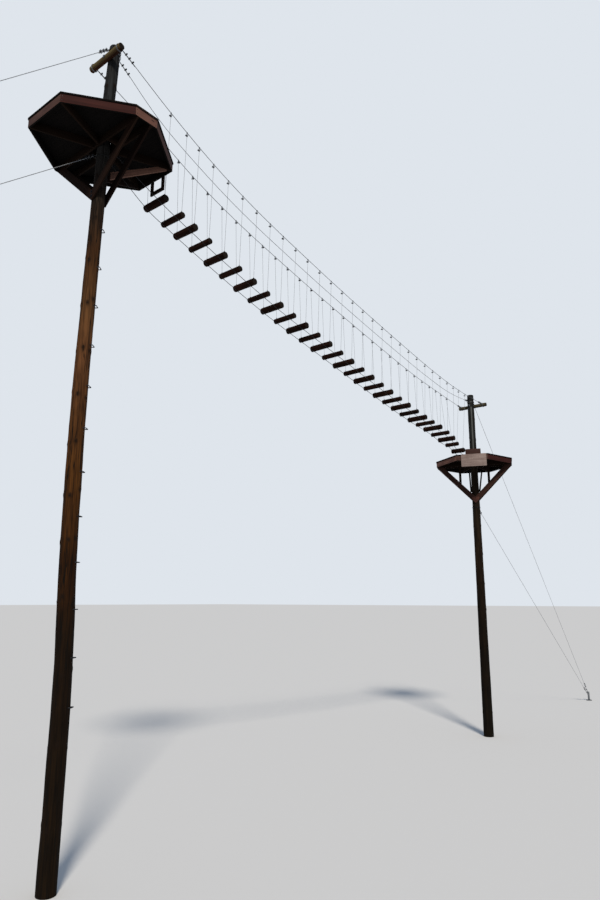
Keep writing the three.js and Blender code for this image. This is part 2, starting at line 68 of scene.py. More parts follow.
# Poles: height, radius at the foot and at the top
SPAN = 19.525
LEFT_POLE = (18.53, 0.19, 0.136)
RIGHT_POLE = (14.3, 0.2, 0.134)
LEFT_BOW = (  # height and how far the log's middle stands aside
    (0, 0), (3.6, 0.02), (6.2, -0.06), (9.0, -0.08), (11.8, -0.035), (14.2, 0.025), (16.2, 0.08),
    (18.6, 0.19),
)
LEFT_KNOTS = (1.2, 2.6, 3.9, 5.35, 6.5, 7.49, 8.49, 9.6, 10.65, 11.7, 12.8, 13.7, 14.9, 16.5, 17.4)
RIGHT_KNOTS = (0.9, 2.3, 3.6, 4.9, 6.0, 7.3, 8.4, 9.9, 12.3, 13.2)
KNOTS_ROUND = 5
KNOT = (0.012, 0.035, 0.05, 0.16)  # how proud, half width, half height, how far it reaches up

# Crossarms: height, length, shift towards the far side
ARM_RADIUS = 0.08
ARM_NOTCH = 0.02
LEFT_ARM = (18.1, 1.2, 0.01)
RIGHT_ARM = (13.82, 1.28, 0.0)
ARM_LOOP = 0.5  # the suspension cable's loop, from the middle of the arm

# Platforms: half sizes of the eight-sided outline, along the bridge and across it
END_HALF = 1.56
END_SIDE_HALF = 0.65
FLAT_HALF = 1.6
FLAT_SIDE_HALF = 0.3
EDGE_SLOPE = 0.754  # of the slanting sides, in plan
PLANK = 0.045
PLANK_ROWS = 22
PLANK_NICK = 0.0015  # half the gap between two planks
SCREW_INSET = 0.04  # from a plank's end
SCREW_SHIFT = 0.042  # from a plank's middle
OVERHANG = 0.018
RIM = 0.042
DEPTH = 0.2
JOIST = 0.045
JOIST_REACH = 1.9  # past the corner, before it is cut back to the rim
BRACE = 0.042
BRACE_DEPTH = 0.2
BRACE_TIP = 1.575
LEFT_DECK = 15.86
LEFT_FOOT = 14.2
RIGHT_DECK = 11.3
RIGHT_FOOT = 9.42
RIGHT_TURN = math.radians(22)
CORNER = math.atan2(END_SIDE_HALF, END_HALF)
HOLE_MARGIN = 0.004  # from the pole to the edge of the deck boards
BLOCK_OFFSET = 0.4  # of the blocks between the beams
BOARD_FIXINGS = (0.05, 0.15)  # of the screws and bolts, up a board's depth
CLEARANCE = (0.018, 0.006)  # beams to pole, at the tall and at the far one
POST = (0.6, 0.1)  # offset and thickness of the far platform's short uprights
END_BRACE = (0.045, 0.17, 15.0, 1.5)  # thickness, depth, foot, reach
THIN_BRACE = (0.065, 9.95, 1.5, 0.29)  # thickness, foot, reach, spread
PANEL = (1.02, 0.52, 0.02, -0.07)  # width, height, thickness, offset
BOX = (0.62, 0.22, 0.27, 0.24, -0.04)  # width, depth, height, inset, offset
BOX_BOARD = 0.03
GUSSET = (0.15, 0.012)  # half width and thickness of the patch on the far platform's braces
STEP = (0.5, -0.06, 0.085, 0.045, 0.34)  # width, offset, leg, thickness, drop

# Treads: round logs with a narrow flat on top, thick and slim ones in turn
TREAD_THICK = 0.098  # radius
TREAD_SLIM = 0.082
TREAD_FLAT = 0.014  # how deep the flat is cut
TREAD_COUNT = 29

# Cables: radii and routes
MAIN_CABLE = 0.0075
FOOT_CABLE = 0.0075
BELAY_CABLE = 0.0065
HANGER = 0.004
GUY = 0.0075
ROPE_GAP = 0.002  # between a cable's turns and what they are wound on
TURN_PITCH = 2.1  # radii from one turn to the next
TURN_STEPS = 20
CABLE_STEPS = 112
FOOT_STEPS = 240
TAIL_CLIPS = (0.12, 0.23, 0.34)  # from the cable's last turn
TREAD_STAPLE = (0.012, 0.04, 0.003)  # half width, legs, radius of the wire
HANGER_EYE = 0.03  # from a hanger's end to what holds it
HANGER_TOP = 0.42  # from the bridge's middle
HANGER_FOOT = 0.335
HANGER_INSET = 0.055  # from the end of a short tread
SHORT_TREAD = 0.7  # treads under this length
MAIN_LINE = (
    (1.66, 17.42), (3.2, 16.78), (4.84, 16.26), (7.6, 15.62), (9.8, 15.17), (12.5, 14.67), (15.4, 14.19),
    (17.4, 13.97),
)
BELAY_HEIGHTS = (18.27, 13.97)
BELAY_DROP = 0.03
FOOT_OFFSET = 0.26
FOOT_SHORT = 0.12  # under the last, short treads
FOOT_SLACK = 0.008
LEFT_FOOT_ANCHOR = (0.15, 15.58)  # from the bridge's middle, height
RIGHT_FOOT_ANCHOR = (11.37, 0.03)  # height, and how much higher the far cable is

# Back guys: heights on the pole and over the ground, and where the anchor stands
LEFT_GUYS = ((18.4, 0.37), (15.4, 0.28), -17.4)
RIGHT_GUYS = ((14.12, 0.37), (9.25, 0.28), 32.7)
TURNBUCKLE = 0.4  # its length
ANCHOR = (0.05, 0.45, 0.15, 0.02, 0.11)  # rod's radius and height, flange's radius and thickness, bolts
ANCHOR_EYE = 0.06  # where a guy ends, from the anchor's middle

# Climbing staples on the tall pole's near side, read from the photograph
STAPLE_TOP = 13.5
STAPLE_STEP = 0.93
STAPLE_COUNT = 12
STAPLE_SIDE = Vector((0.629, -0.777, 0.0))
STAPLE = (0.07, 0.045, 0.012)  # half width, how far it stands out, corner

# The sun's side and its height over the floor
SUN_SIDE = Vector((-0.7, -0.71, 0.0))
SUN_HEIGHT = math.radians(40)

scene = bpy.context.scene
chance = random.Random(7)


# Materials

def linear(code):
    """An sRGB hex colour as the linear colour that a shader takes."""
    parts = [int(code[i : i + 2], 16) / 255 for i in (1, 3, 5)]
    return (*[p / 12.92 if p <= 0.04045 else ((p + 0.055) / 1.055) ** 2.4 for p in parts], 1.0)


def add(tree, kind, inputs=None, stops=None, **settings):
    """Adds a shader node with its settings, its inputs (values or links) and its ramp's stops."""
    made = tree.nodes.new("ShaderNode" + kind)
    for key, value in settings.items():
        setattr(made, key, value)
    for socket, value in (inputs or {}).items():
        if isinstance(value, bpy.types.NodeSocket):
            tree.links.new(value, made.inputs[socket])
        else:
            made.inputs[socket].default_value = value
    if stops:
        ramp = made.color_ramp.elements
        ramp[0].position, ramp[0].color = stops[0][0], linear(stops[0][1])
        ramp[1].position, ramp[1].color = stops[-1][0], linear(stops[-1][1])
        for place, code in stops[1:-1]:
            ramp.new(place).color = linear(code)
    return made


def new_material(name):
    made = bpy.data.materials.new(name)
    made.use_nodes = True
    made.node_tree.nodes.clear()
    return made, made.node_tree


def close(tree, inputs, height=None, depth=1.0, gloss=0.5):
    """Ends a material with its shader, over a bump of a real depth in millimetres."""
    inputs.setdefault("Specular IOR Level", gloss)
    if height is not None:
        bump = add(tree, "Bump", {"Height": height, "Distance": depth * MM, "Strength": 1.0})
        inputs["Normal"] = bump.outputs["Normal"]
    shader = add(tree, "BsdfPrincipled", inputs)
    add(tree, "OutputMaterial", {"Surface": shader.outputs["BSDF"]})


SUNLIT_AND_WEATHERED_SIDE = (-0.7, 0.0, 0.7)  # the side of a lying log painted paler: painted light where the sun falls, and silvering by rain and sun

# A log's patterns: across and along its grain in real millimetres, and detail
LOG_PATTERNS = (
    (13, 420, 5.0),  # fibres
    (46, 1500, 3.0),  # streaks
    (230, 700, 2.0),  # stains
    (85, 2600, 4.0),  # drying cracks
)

# A board's patterns: along and across its grain in real metres, and detail
BOARD_PATTERNS = (
    (0.55, 0.009, 4.0),  # grain
    (1.6, 0.05, 2.0),  # bands
    (0.5, 0.25, 3.0),  # blotches
)


def log_wood(name, axis, stops, dark, depth, height=1.0, gloss=0.1, knots=False, stripe=None, sunlit_silver=None):
    """A peeled, preservative-treated pine log, left rough.

    The eye sees long fibres, brown and nearly black streaks of stain, drying cracks along the
    grain, and here and there a knot. The lighter colour is one hex, or stops by height.
    """
    made, tree = new_material(name)
    place = add(tree, "TexCoord").outputs["Object"]
    patterns = []
    for across, along, detail in LOG_PATTERNS:
        scale = [1 / (across * MM)] * 3
        scale[axis] = 1 / (along * MM)
        spread = add(tree, "Mapping", {"Vector": place, "Scale": scale})
        cloud = add(tree, "TexNoise", {"Vector": spread.outputs["Vector"], "Scale": 1.0, "Detail": detail})
        patterns.append(cloud.outputs["Fac"])
    fibres, streaks, stains, cracks = patterns
    tone = 0.0
    for pattern, share in ((fibres, 0.36), (streaks, 0.38), (stains, 0.26)):
        tone = add(tree, "Math", {0: pattern, 1: share, 2: tone}, operation="MULTIPLY_ADD").outputs[0]
    tone = add(tree, "MapRange", {"Value": tone, "From Min": 0.38, "From Max": 0.6}).outputs[0]
    if isinstance(stops, str):
        stops = [(0.0, stops), (1.0, stops)]
    level = add(tree, "SeparateXYZ", {0: place}).outputs[2]
    level = add(tree, "Math", {0: level, 1: height * M}, operation="DIVIDE").outputs[0]
    light = add(tree, "ValToRGB", {"Fac": level}, stops=stops).outputs["Color"]
    multiply = {"data_type": "RGBA", "blend_type": "MULTIPLY"}
    shade = add(tree, "Mix", {0: 1.0, 6: light, 7: linear(dark)}, **multiply).outputs[2]
    colour = add(tree, "Mix", {0: tone, 6: shade, 7: light}, data_type="RGBA").outputs[2]
    split = add(tree, "Math", {0: cracks, 1: 0.5}, operation="SUBTRACT").outputs[0]
    split = add(tree, "Math", {0: split}, operation="ABSOLUTE").outputs[0]
    split = add(tree, "MapRange", {"Value": split, "From Min": 0.004, "From Max": 0.018}).outputs[0]
    colour = add(tree, "Mix", {0: split, 6: linear("#0b0805"), 7: colour}, data_type="RGBA").outputs[2]
    coats = []
    if knots:
        coats.append((add(tree, "Attribute", attribute_name="knot").outputs["Fac"], "#150c06"))
    if stripe:
        coats.append((add(tree, "Attribute", attribute_name="stripe").outputs["Fac"], stripe))
    # A paler silvered coat on the log's upper outboard side: painted light where the sun falls, and
    # weathering by rain and sun.
    if sunlit_silver:
        normal = add(tree, "NewGeometry").outputs["Normal"]
        skyward = add(tree, "VectorMath", {0: normal, 1: SUNLIT_AND_WEATHERED_SIDE}, operation="DOT_PRODUCT")
        skyward = {0: stains, 1: 0.5, 2: skyward.outputs["Value"]}
        skyward = add(tree, "Math", skyward, operation="MULTIPLY_ADD").outputs[0]
        skyward = add(tree, "MapRange", {"Value": skyward, "From Min": -0.25, "From Max": 0.75})
        coats.append((skyward.outputs[0], sunlit_silver))
    for cover, code in coats:
        colour = add(tree, "Mix", {0: cover, 6: colour, 7: linear(code)}, data_type="RGBA").outputs[2]
    relief = add(tree, "Math", {0: fibres, 1: 0.5, 2: split}, operation="MULTIPLY_ADD").outputs[0]
    close(tree, {"Base Color": colour, "Roughness": 0.86}, relief, depth, gloss)
    return made


def board_wood(name, dark, light, worn, roughness=0.8, gloss=0.25):
    """A planed softwood board under a brown penetrating stain.

    The eye sees a fine straight grain, darker knots, blotches where the stain took unevenly, and
    arrises rubbed paler. The grain follows the board's own UV map, which is in real metres.
    """
    made, tree = new_material(name)
    place = add(tree, "TexCoord").outputs["UV"]
    patterns = []
    for along, across, detail in BOARD_PATTERNS:
        spread = add(tree, "Mapping", {"Vector": place, "Scale": (1 / along, 1 / across, 1.0)})
        cloud = add(tree, "TexNoise", {"Vector": spread.outputs["Vector"], "Scale": 1.0, "Detail": detail})
        patterns.append(cloud.outputs["Fac"])
    grain, bands, blotches = patterns
    tone = 0.0
    for pattern, share in ((grain, 0.45), (bands, 0.25), (blotches, 0.3)):
        tone = add(tree, "Math", {0: pattern, 1: share, 2: tone}, operation="MULTIPLY_ADD").outputs[0]
    tone = add(tree, "MapRange", {"Value": tone, "From Min": 0.36, "From Max": 0.64}).outputs[0]
    colour = add(tree, "Mix", {0: tone, 6: linear(dark), 7: linear(light)}, data_type="RGBA").outputs[2]
    knots = add(tree, "Mapping", {"Vector": place, "Scale": (1.7, 5.5, 1.0)}).outputs["Vector"]
    knots = add(tree, "TexVoronoi", {"Vector": knots, "Scale": 1.0}).outputs["Distance"]
    knots = add(tree, "MapRange", {"Value": knots, "From Min": 0.05, "From Max": 0.11}).outputs[0]
    colour = add(tree, "Mix", {0: knots, 6: linear("#120a07"), 7: colour}, data_type="RGBA").outputs[2]
    rubbed = add(tree, "Attribute", attribute_name="arris").outputs["Fac"]
    rubbed = add(tree, "Math", {0: rubbed, 1: blotches}, operation="MULTIPLY").outputs[0]
    colour = add(tree, "Mix", {0: rubbed, 6: colour, 7: linear(worn)}, data_type="RGBA").outputs[2]
    close(tree, {"Base Color": colour, "Roughness": roughness}, grain, 0.8, gloss)
    return made


def end_grain(name, dark, light):
    """The sawn end of a timber: growth rings about 5 mm apart and a few cracks, open and thirsty."""
    made, tree = new_material(name)
    place = add(tree, "TexCoord").outputs["UV"]
    look = {"Vector": place, "Scale": 32.0, "Distortion": 2.5, "Detail": 2.0, "Detail Scale": 0.6}
    rings = add(tree, "TexWave", look, wave_type="RINGS", rings_direction="Z").outputs["Fac"]
    cloud = add(tree, "TexNoise", {"Vector": place, "Scale": 14.0, "Detail": 3.0}).outputs["Fac"]
    tone = add(tree, "Math", {0: rings, 1: cloud}, operation="MULTIPLY").outputs[0]
    colour = add(tree, "Mix", {0: tone, 6: linear(dark), 7: linear(light)}, data_type="RGBA")
    close(tree, {"Base Color": colour.outputs[2], "Roughness": 0.92}, tone, 0.8, 0.15)
    return made


def plywood():
    """A sheet of bare plywood, silvered and rain-washed: a broad soft grain with pale and rusty runs."""
    made, tree = new_material("weathered_plywood")
    place = add(tree, "TexCoord").outputs["UV"]
    patterns = []
    for scale, detail in (((1.6, 14.0, 1.0), 4.0), ((3.0, 160.0, 1.0), 2.0), ((22.0, 2.2, 1.0), 3.0)):
        spread = add(tree, "Mapping", {"Vector": place, "Scale": scale}).outputs["Vector"]
        cloud = add(tree, "TexNoise", {"Vector": spread, "Scale": 1.0, "Detail": detail})
        patterns.append(cloud.outputs["Fac"])
    broad, fine, runs = patterns
    greys = [(0.3, "#705f5a"), (0.5, "#80706b"), (0.7, "#8f807a")]
    tone = add(tree, "ValToRGB", {"Fac": broad}, stops=greys).outputs["Color"]
    wash = add(tree, "MapRange", {"Value": runs, "From Min": 0.52, "From Max": 0.74, "To Max": 0.45})
    washed = {0: wash.outputs[0], 6: tone, 7: linear("#65534e")}
    colour = add(tree, "Mix", washed, data_type="RGBA").outputs[2]
    band = {"Value": fine, "From Min": 0.35, "From Max": 0.65, "To Min": 0.8, "To Max": 1.0}
    lines = add(tree, "MapRange", band).outputs[0]
    lines = add(tree, "CombineColor", {0: lines, 1: lines, 2: lines}).outputs[0]
    colour = add(tree, "Mix", {0: 1.0, 6: colour, 7: lines}, data_type="RGBA", blend_type="MULTIPLY")
    close(tree, {"Base Color": colour.outputs[2], "Roughness": 0.85}, fine, 0.4)
    return made


def plywood_edge():
    """The sheet's edge: seven plies, pale and dark by turns, from the UV map in metres."""
    made, tree = new_material("plywood_edge")
    place = add(tree, "TexCoord").outputs["UV"]
    across = add(tree, "SeparateXYZ", {0: place}).outputs[1]
    plies = add(tree, "Math", {0: across, 1: 2 * math.pi / 0.006}, operation="MULTIPLY").outputs[0]
    plies = add(tree, "Math", {0: plies}, operation="SINE").outputs[0]
    plies = add(tree, "MapRange", {"Value": plies, "From Min": -0.4, "From Max": 0.4}).outputs[0]
    colour = add(tree, "Mix", {0: plies, 6: linear("#3c2f28"), 7: linear("#7b6a5e")}, data_type="RGBA")
    close(tree, {"Base Color": colour.outputs[2], "Roughness": 0.9}, plies, 0.4)
    return made


def steel(name, dark, light, roughness):
    """Hot-dip galvanised steel, dulled: a grey metal with soft darker patches of oxide."""
    made, tree = new_material(name)
    place = add(tree, "TexCoord").outputs["Object"]
    cloud = add(tree, "TexNoise", {"Vector": place, "Scale": 1 / (18 * MM), "Detail": 3.0}).outputs["Fac"]
    patches = add(tree, "MapRange", {"Value": cloud, "From Min": 0.35, "From Max": 0.65}).outputs[0]
    colour = add(tree, "Mix", {0: patches, 6: linear(dark), 7: linear(light)}, data_type="RGBA").outputs[2]
    worn = add(tree, "MapRange", {"Value": cloud, "To Min": roughness + 0.12, "To Max": roughness - 0.12})
    close(tree, {"Base Color": colour, "Metallic": 1.0, "Roughness": worn.outputs[0]}, cloud, 0.15)
    return made


def wire_rope(name, dark, light):
    """Galvanised wire rope: six strands laid in a long spiral, with grime between them.

    The rope's UV map holds the turn round it and the metres along it; one lay is 100 mm.
    """
    made, tree = new_material(name)
    place = add(tree, "TexCoord").outputs["UV"]
    lay = (6.0, 6.0 / 0.1, 0.0)
    phase = add(tree, "VectorMath", {0: place, 1: lay}, operation="DOT_PRODUCT").outputs["Value"]
    phase = add(tree, "Math", {0: phase, 1: 2 * math.pi}, operation="MULTIPLY").outputs[0]
    strands = add(tree, "Math", {0: phase}, operation="SINE").outputs[0]
    strands = add(tree, "MapRange", {"Value": strands, "From Min": -1.0, "From Max": 0.6}).outputs[0]
    colour = add(tree, "Mix", {0: strands, 6: linear(dark), 7: linear(light)}, data_type="RGBA").outputs[2]
    close(tree, {"Base Color": colour, "Metallic": 0.85, "Roughness": 0.5}, strands, 1.5)
    return made


LEFT_STOPS = [
    (0.0, "#1a1004"),
    (0.25, "#1b0f04"),
    (0.33, "#361d05"),
    (0.43, "#553413"),
    (0.56, "#603e24"),
    (0.63, "#5a3d22"),
    (0.7, "#402712"),
    (0.77, "#2b231c"),
    (0.86, "#282a2b"),
    (1.0, "#2a2d30"),
]
RIGHT_STOPS = [
    (0.0, "#140e06"),
    (0.3, "#150c03"),
    (0.45, "#24170b"),
    (0.75, "#271f15"),
    (0.88, "#272a2a"),
    (1.0, "#262827"),
]
STREAK = "#6a625c"  # multiplies a log's lighter colour in its dark streaks
tall_pole_wood = log_wood("treated_pine_log_tall", 2, LEFT_STOPS, STREAK, 3.0, LEFT_POLE[0], knots=True)
far_pole_wood = log_wood(
    "treated_pine_log_far", 2, RIGHT_STOPS, STREAK, 3.0, RIGHT_POLE[0], knots=True, stripe="#5c5f5e",
)
# The crossarms take a paler coat on their upper outboard side: painted light, and weathering.
arm_wood = log_wood("sunlit_and_weathered_pine_arm", 1, "#432411", STREAK, 3.0, knots=True, sunlit_silver="#5a4f34")
far_arm_wood = log_wood("sunlit_and_weathered_pine_far_arm", 1, "#22170f", STREAK, 3.0, knots=True, sunlit_silver="#45402f")
tread_bark = log_wood("creosoted_tread_log", 1, "#26140e", "#57504c", 4.0, gloss=0.05)
tread_face = log_wood("sawn_tread_face", 1, "#43372d", "#6f6a66", 1.5)
thin_pole_wood = log_wood("peeled_thin_pole", 2, "#231a15", STREAK, 2.0)
pole_end = end_grain("weathered_log_end", "#221e1a", "#565049")
tread_end = end_grain("creosoted_log_end", "#0e0906", "#241a13")
board_end = end_grain("stained_board_end", "#140e0c", "#38281f")
rim_wood = board_wood("red_brown_stained_board", "#33201c", "#513831", "#6b5147")
# Darker and paler copies of the rim stain, given to single sides as painted shade and painted light.
painted_shade_rim_wood = board_wood("painted_shade_rim_board", "#250c0a", "#3a1915", "#4c2b23", gloss=0.15)
painted_light_rim_wood = board_wood("painted_light_rim_board", "#4c3129", "#755145", "#8a6a5c")
# A near-black board colour that is painted shade, for boards under the tall platform.
painted_shade_brace_wood = board_wood("painted_shade_brace_board", "#0b0605", "#1d110d", "#33241d", gloss=0.05)
# A near-black board colour that is painted shade, for the outer V brace under the tall platform.
painted_shade_outer_brace_wood = board_wood("painted_shade_outer_brace_board", "#110a07", "#261812", "#33241b", gloss=0.05)
# A paler copy of the board stain that is painted light, for the sunlit end brace.
painted_light_brace_wood = board_wood("painted_light_brace_board", "#3f2a22", "#725043", "#7d6152")
far_brace_wood = board_wood("red_stained_board", "#20110d", "#3a231c", "#54392f", gloss=0.15)
gusset_wood = board_wood("red_stained_patch", "#2b140e", "#4f2b22", "#6b4a3c")
deck_wood = board_wood("trodden_deck_board", "#3d2b24", "#6e564a", "#8a7566")
box_wood = board_wood("red_stained_box_board", "#241310", "#3e2520", "#5d443b")
# A near-black board colour that is painted shade, for the faces under and inside the platforms.
painted_shade_under_wood = board_wood(
    "painted_shade_underside_board", "#090808", "#120f0e", "#120f0e", roughness=0.95, gloss=0.05,
)
# A near-black bearer colour that is painted shade under the deck.
painted_shade_joist_wood = board_wood("painted_shade_bearer", "#0e0906", "#1e130d", "#241811", roughness=0.9, gloss=0.05)
panel_face = plywood()
panel_edge = plywood_edge()
rope_steel = wire_rope("galvanised_wire_rope", "#2b2d30", "#85888b")
hanger_rope = wire_rope("bright_hanger_rope", "#5a5c5f", "#b0b3b6")
guy_rope = wire_rope("bright_guy_rope", "#6d7073", "#b8bbbe")
grimy_rope = wire_rope("grimy_wire_rope", "#0c0c0d", "#2f3032")
fitting_steel = steel("galvanised_fitting", "#5c6064", "#9a9ea2", 0.45)
dark_steel = steel("blackened_fitting", "#15161a", "#33353a", 0.55)
clip_steel = steel("dulled_rope_clip", "#2b2d31", "#5a5d61", 0.5)


# Shapes

def gather(whole, part, where=Matrix.Identity(4)):
    """Adds one bmesh to another at a place, and frees it."""
    part.transform(where)
    passing = bpy.data.meshes.new("passing")
    part.to_mesh(passing)
    part.free()
    whole.from_mesh(passing)
    bpy.data.meshes.remove(passing)


def piece(name, bm, materials, nodes=(), where=Matrix.Identity(4)):
    """Makes the object from a bmesh at real size: placed, scaled to the model, smooth up to a crease."""
    bm.transform(where)
    bmesh.ops.scale(bm, vec=(M, M, M), verts=bm.verts)
    mesh = bpy.data.meshes.new(name)
    bm.to_mesh(mesh)
    bm.free()
    mesh.shade_smooth()
    mesh.set_sharp_from_angle(angle=CREASE)
    for material in materials:
        mesh.materials.append(material)
    made = bpy.data.objects.new(name, mesh)
    scene.collection.objects.link(made)
    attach(made, "root")
    if nodes:
        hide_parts(*nodes)
    return made


def facing(direction, place=(0, 0, 0)):
    """A place whose z axis points in a direction."""
    turn = Vector((0, 0, 1)).rotation_difference(Vector(direction)).to_matrix().to_4x4()
    return Matrix.Translation(place) @ turn


def arc(centre, u, v, first, last, steps):
    """Places on a circle or an ellipse round a centre; u and v are its half axes."""
    angles = [first + (last - first) * i / steps for i in range(steps + 1)]
    return [Vector(centre) + Vector(u) * math.cos(a) + Vector(v) * math.sin(a) for a in angles]


def grain_lines(bm, along, across, through):
    """Lays the board's grain on its UV map in metres, from a random place in the pattern.

    Faces cut across the grain take the second material.
    """
    layer = bm.loops.layers.uv.verify()
    start = Vector((chance.uniform(0, 60), chance.uniform(0, 60)))
    for face in bm.faces:
        normal = face.normal
        if abs(normal.dot(along)) > 0.6:
            face.material_index = 1
            u, v = through, across
        elif abs(normal.dot(through)) > abs(normal.dot(across)):
            u, v = along, across
        else:
            u, v = along, through
        for loop in face.loops:
            loop[layer].uv = Vector((loop.vert.co.dot(u), loop.vert.co.dot(v))) + start


def cut_off(bm, place, outward):
    """Cuts away what lies beyond a plane and closes the cut; gives the cut's edges and faces."""
    geom = bm.verts[:] + bm.edges[:] + bm.faces[:]
    bmesh.ops.bisect_plane(bm, geom=geom, plane_co=place, plane_no=outward, clear_outer=True)
    edges = [e for e in bm.edges if e.is_boundary]
    faces = bmesh.ops.holes_fill(bm, edges=edges, sides=0)["faces"] if edges else []
    return edges, faces


def soften(bm, edges, offset, segments=2, clamp=True):
    """Eases edges, and gives back the faces that this makes."""
    made = bmesh.ops.bevel(
        bm, geom=edges, offset=offset, offset_type="OFFSET", segments=segments, profile=0.5, affect="EDGES",
        clamp_overlap=clamp, material=-1,
    )
    return made["faces"]


def boards():
    """An empty mesh for boards, with their grain's UV map and the mark of their eased arrises."""
    bm = bmesh.new()
    bm.loops.layers.uv.verify()
    bm.faces.layers.float.new("arris")
    return bm


def trim(bm, corners):
    """Cuts a closed mesh back to the upright walls of an outline in plan."""
    for here, there in zip(corners, corners[1:] + corners[:1]):
        side = there - here
        cut_off(bm, here, (side.y, -side.x, 0.0))


def timber(outline, push, along, across, ease=0.004, inside=None):
    """A sawn timber: an outline drawn out along push, with eased arrises and its own grain."""
    bm = bmesh.new()
    arris = bm.faces.layers.float.new("arris")
    face = bm.faces.new([bm.verts.new(corner) for corner in outline])
    made = bmesh.ops.extrude_face_region(bm, geom=[face])
    moved = [v for v in made["geom"] if isinstance(v, bmesh.types.BMVert)]
    bmesh.ops.translate(bm, vec=push, verts=moved)
    bmesh.ops.recalc_face_normals(bm, faces=bm.faces)
    if inside:
        trim(bm, inside)
    for face in soften(bm, [e for e in bm.edges if e.is_manifold and e.calc_face_angle() > 0.3], ease):
        face[arris] = 1.0
    along = Vector(along).normalized()
    across = Vector(across).normalized()
    grain_lines(bm, along, across, along.cross(across))
    return bm


def block(low, high, along=(1, 0, 0), across=(0, 0, 1), ease=0.004, inside=None):
    """A box-shaped timber between two corners."""
    x0, y0, z0 = low
    x1, y1, z1 = high
    outline = [(x0, y0, z0), (x1, y0, z0), (x1, y1, z0), (x0, y1, z0)]
    return timber(outline, (0, 0, z1 - z0), along, across, ease, inside)


def log(length, foot, top, sides, cuts, ease=0.008):
    """A round log along +Z from the origin, with rings to shape it and eased ends.

    Its ends take the second material and a flat UV map, for the growth rings.
    """
    bm = bmesh.new()
    bmesh.ops.create_cone(bm, cap_ends=True, segments=sides, radius1=foot, radius2=top, depth=length)
    bmesh.ops.translate(bm, vec=(0, 0, length / 2), verts=bm.verts)
    staves = [e for e in bm.edges if abs(e.verts[0].co.z - e.verts[1].co.z) > length / 2]
    bmesh.ops.subdivide_edges(bm, edges=staves, cuts=cuts, use_grid_fill=True)
    ends = [f for f in bm.faces if abs(f.normal.z) > 0.9]
    soften(bm, list({e for f in ends for e in f.edges}), ease)
    layer = bm.loops.layers.uv.verify()
    for face in bm.faces:
        if abs(face.normal.z) > 0.9:
            face.material_index = 1
            for loop in face.loops:
                loop[layer].uv = loop.vert.co.xy
    return bm


def roughen(bm, amount, seed, fine=0.25):
    """Gives a log the lumps and shallow hollows of a grown trunk, larger along it than across."""
    for v in bm.verts:
        away = Vector((v.co.x, v.co.y, 0.0))
        if away.length < 0.02:
            continue
        away.normalize()
        broad = noise.noise(Vector((away.x * 1.3 + seed, away.y * 1.3, v.co.z * 1.1)))
        small = noise.noise(Vector((away.x * 4.0 - seed, away.y * 4.0, v.co.z * 5.0)))
        v.co += away * amount * (broad + fine * small)


def rope(bm, points, radius, sides=8):
    """A round rope through the points, drawn ring by ring.

    Its UV map holds the turn round it and the metres along it.
    """
    bm.loops.layers.uv.verify()
    strand = bmesh.new()
    layer = strand.loops.layers.uv.verify()
    around = strand.verts.layers.float.new("around")
    walked = strand.verts.layers.float.new("walked")
    ahead = (points[1] - points[0]).normalized()
    start = facing(ahead, points[0])
    made = bmesh.ops.create_circle(strand, cap_ends=True, segments=sides, radius=radius, matrix=start)
    ring = made["verts"]
    for i, v in enumerate(ring):
        v[around] = i / sides
    edges = list({e for v in ring for e in v.link_edges})
    length = 0.0
    for i in range(1, len(points)):
        made = bmesh.ops.extrude_edge_only(strand, edges=edges)["geom"]
        verts = [g for g in made if isinstance(g, bmesh.types.BMVert)]
        edges = [g for g in made if isinstance(g, bmesh.types.BMEdge)]
        onward = (points[min(i + 1, len(points) - 1)] - points[i - 1]).normalized()
        swing = ahead.rotation_difference(onward).to_matrix().to_4x4()
        move = Matrix.Translation(points[i]) @ swing @ Matrix.Translation(-points[i - 1])
        bmesh.ops.transform(strand, matrix=move, verts=verts)
        length += (points[i] - points[i - 1]).length
        for v in verts:
            v[walked] = length
        ahead = onward
    bmesh.ops.contextual_create(strand, geom=edges)
    for face in strand.faces:
        turns = [loop.vert[around] for loop in face.loops]
        seam = max(turns) - min(turns) > 0.5
        for loop in face.loops:
            u = loop.vert[around]
            loop[layer].uv = (u + 1 if seam and u < 0.5 else u, loop.vert[walked])
    bmesh.ops.recalc_face_normals(strand, faces=strand.faces)
    for name in ("around", "walked"):
        strand.verts.layers.float.remove(strand.verts.layers.float[name])
    gather(bm, strand)


def through(points, steps):
    """Places on a smooth line through the points, by the rule that the solids' cables follow."""
    points = [Vector(p) for p in points]
    ends = [2 * points[0] - points[1], *points, 2 * points[-1] - points[-2]]
    line = []
    for i in range(steps + 1):
        share = i / steps * (len(points) - 1)
        k = min(int(share), len(points) - 2)
        t = share - k
        p0, p1, p2, p3 = ends[k : k + 4]
        d0, d1, d2 = [(b - a).length ** 0.5 for a, b in ((p0, p1), (p1, p2), (p2, p3))]
        m1 = ((p1 - p0) / d0 - (p2 - p0) / (d0 + d1) + (p2 - p1) / d1) * d1
        m2 = ((p2 - p1) / d1 - (p3 - p1) / (d1 + d2) + (p3 - p2) / d2) * d1
        c2 = -3 * p1 + 3 * p2 - 2 * m1 - m2
        c3 = 2 * p1 - 2 * p2 + m1 + m2
        line.append(p1 + m1 * t + c2 * t * t + c3 * t * t * t)
    return line


def at(line, x, axis=0):
    """The place on a line where one coordinate has a value."""
    for here, there in zip(line, line[1:]):
        if here[axis] <= x <= there[axis]:
            return here.lerp(there, (x - here[axis]) / max(there[axis] - here[axis], 1e-9))
    return line[0] if x < line[0][axis] else line[-1]


BOW_LINE = through([(offset, 0, height) for height, offset in LEFT_BOW], 400)


def left_centre(height):
    return at(BOW_LINE, height, 2).x


def right_centre(height):
    return SPAN


def radius_at(pole_size, height):
    length, foot, top = pole_size
    return foot + (top - foot) * height / length


# Fittings

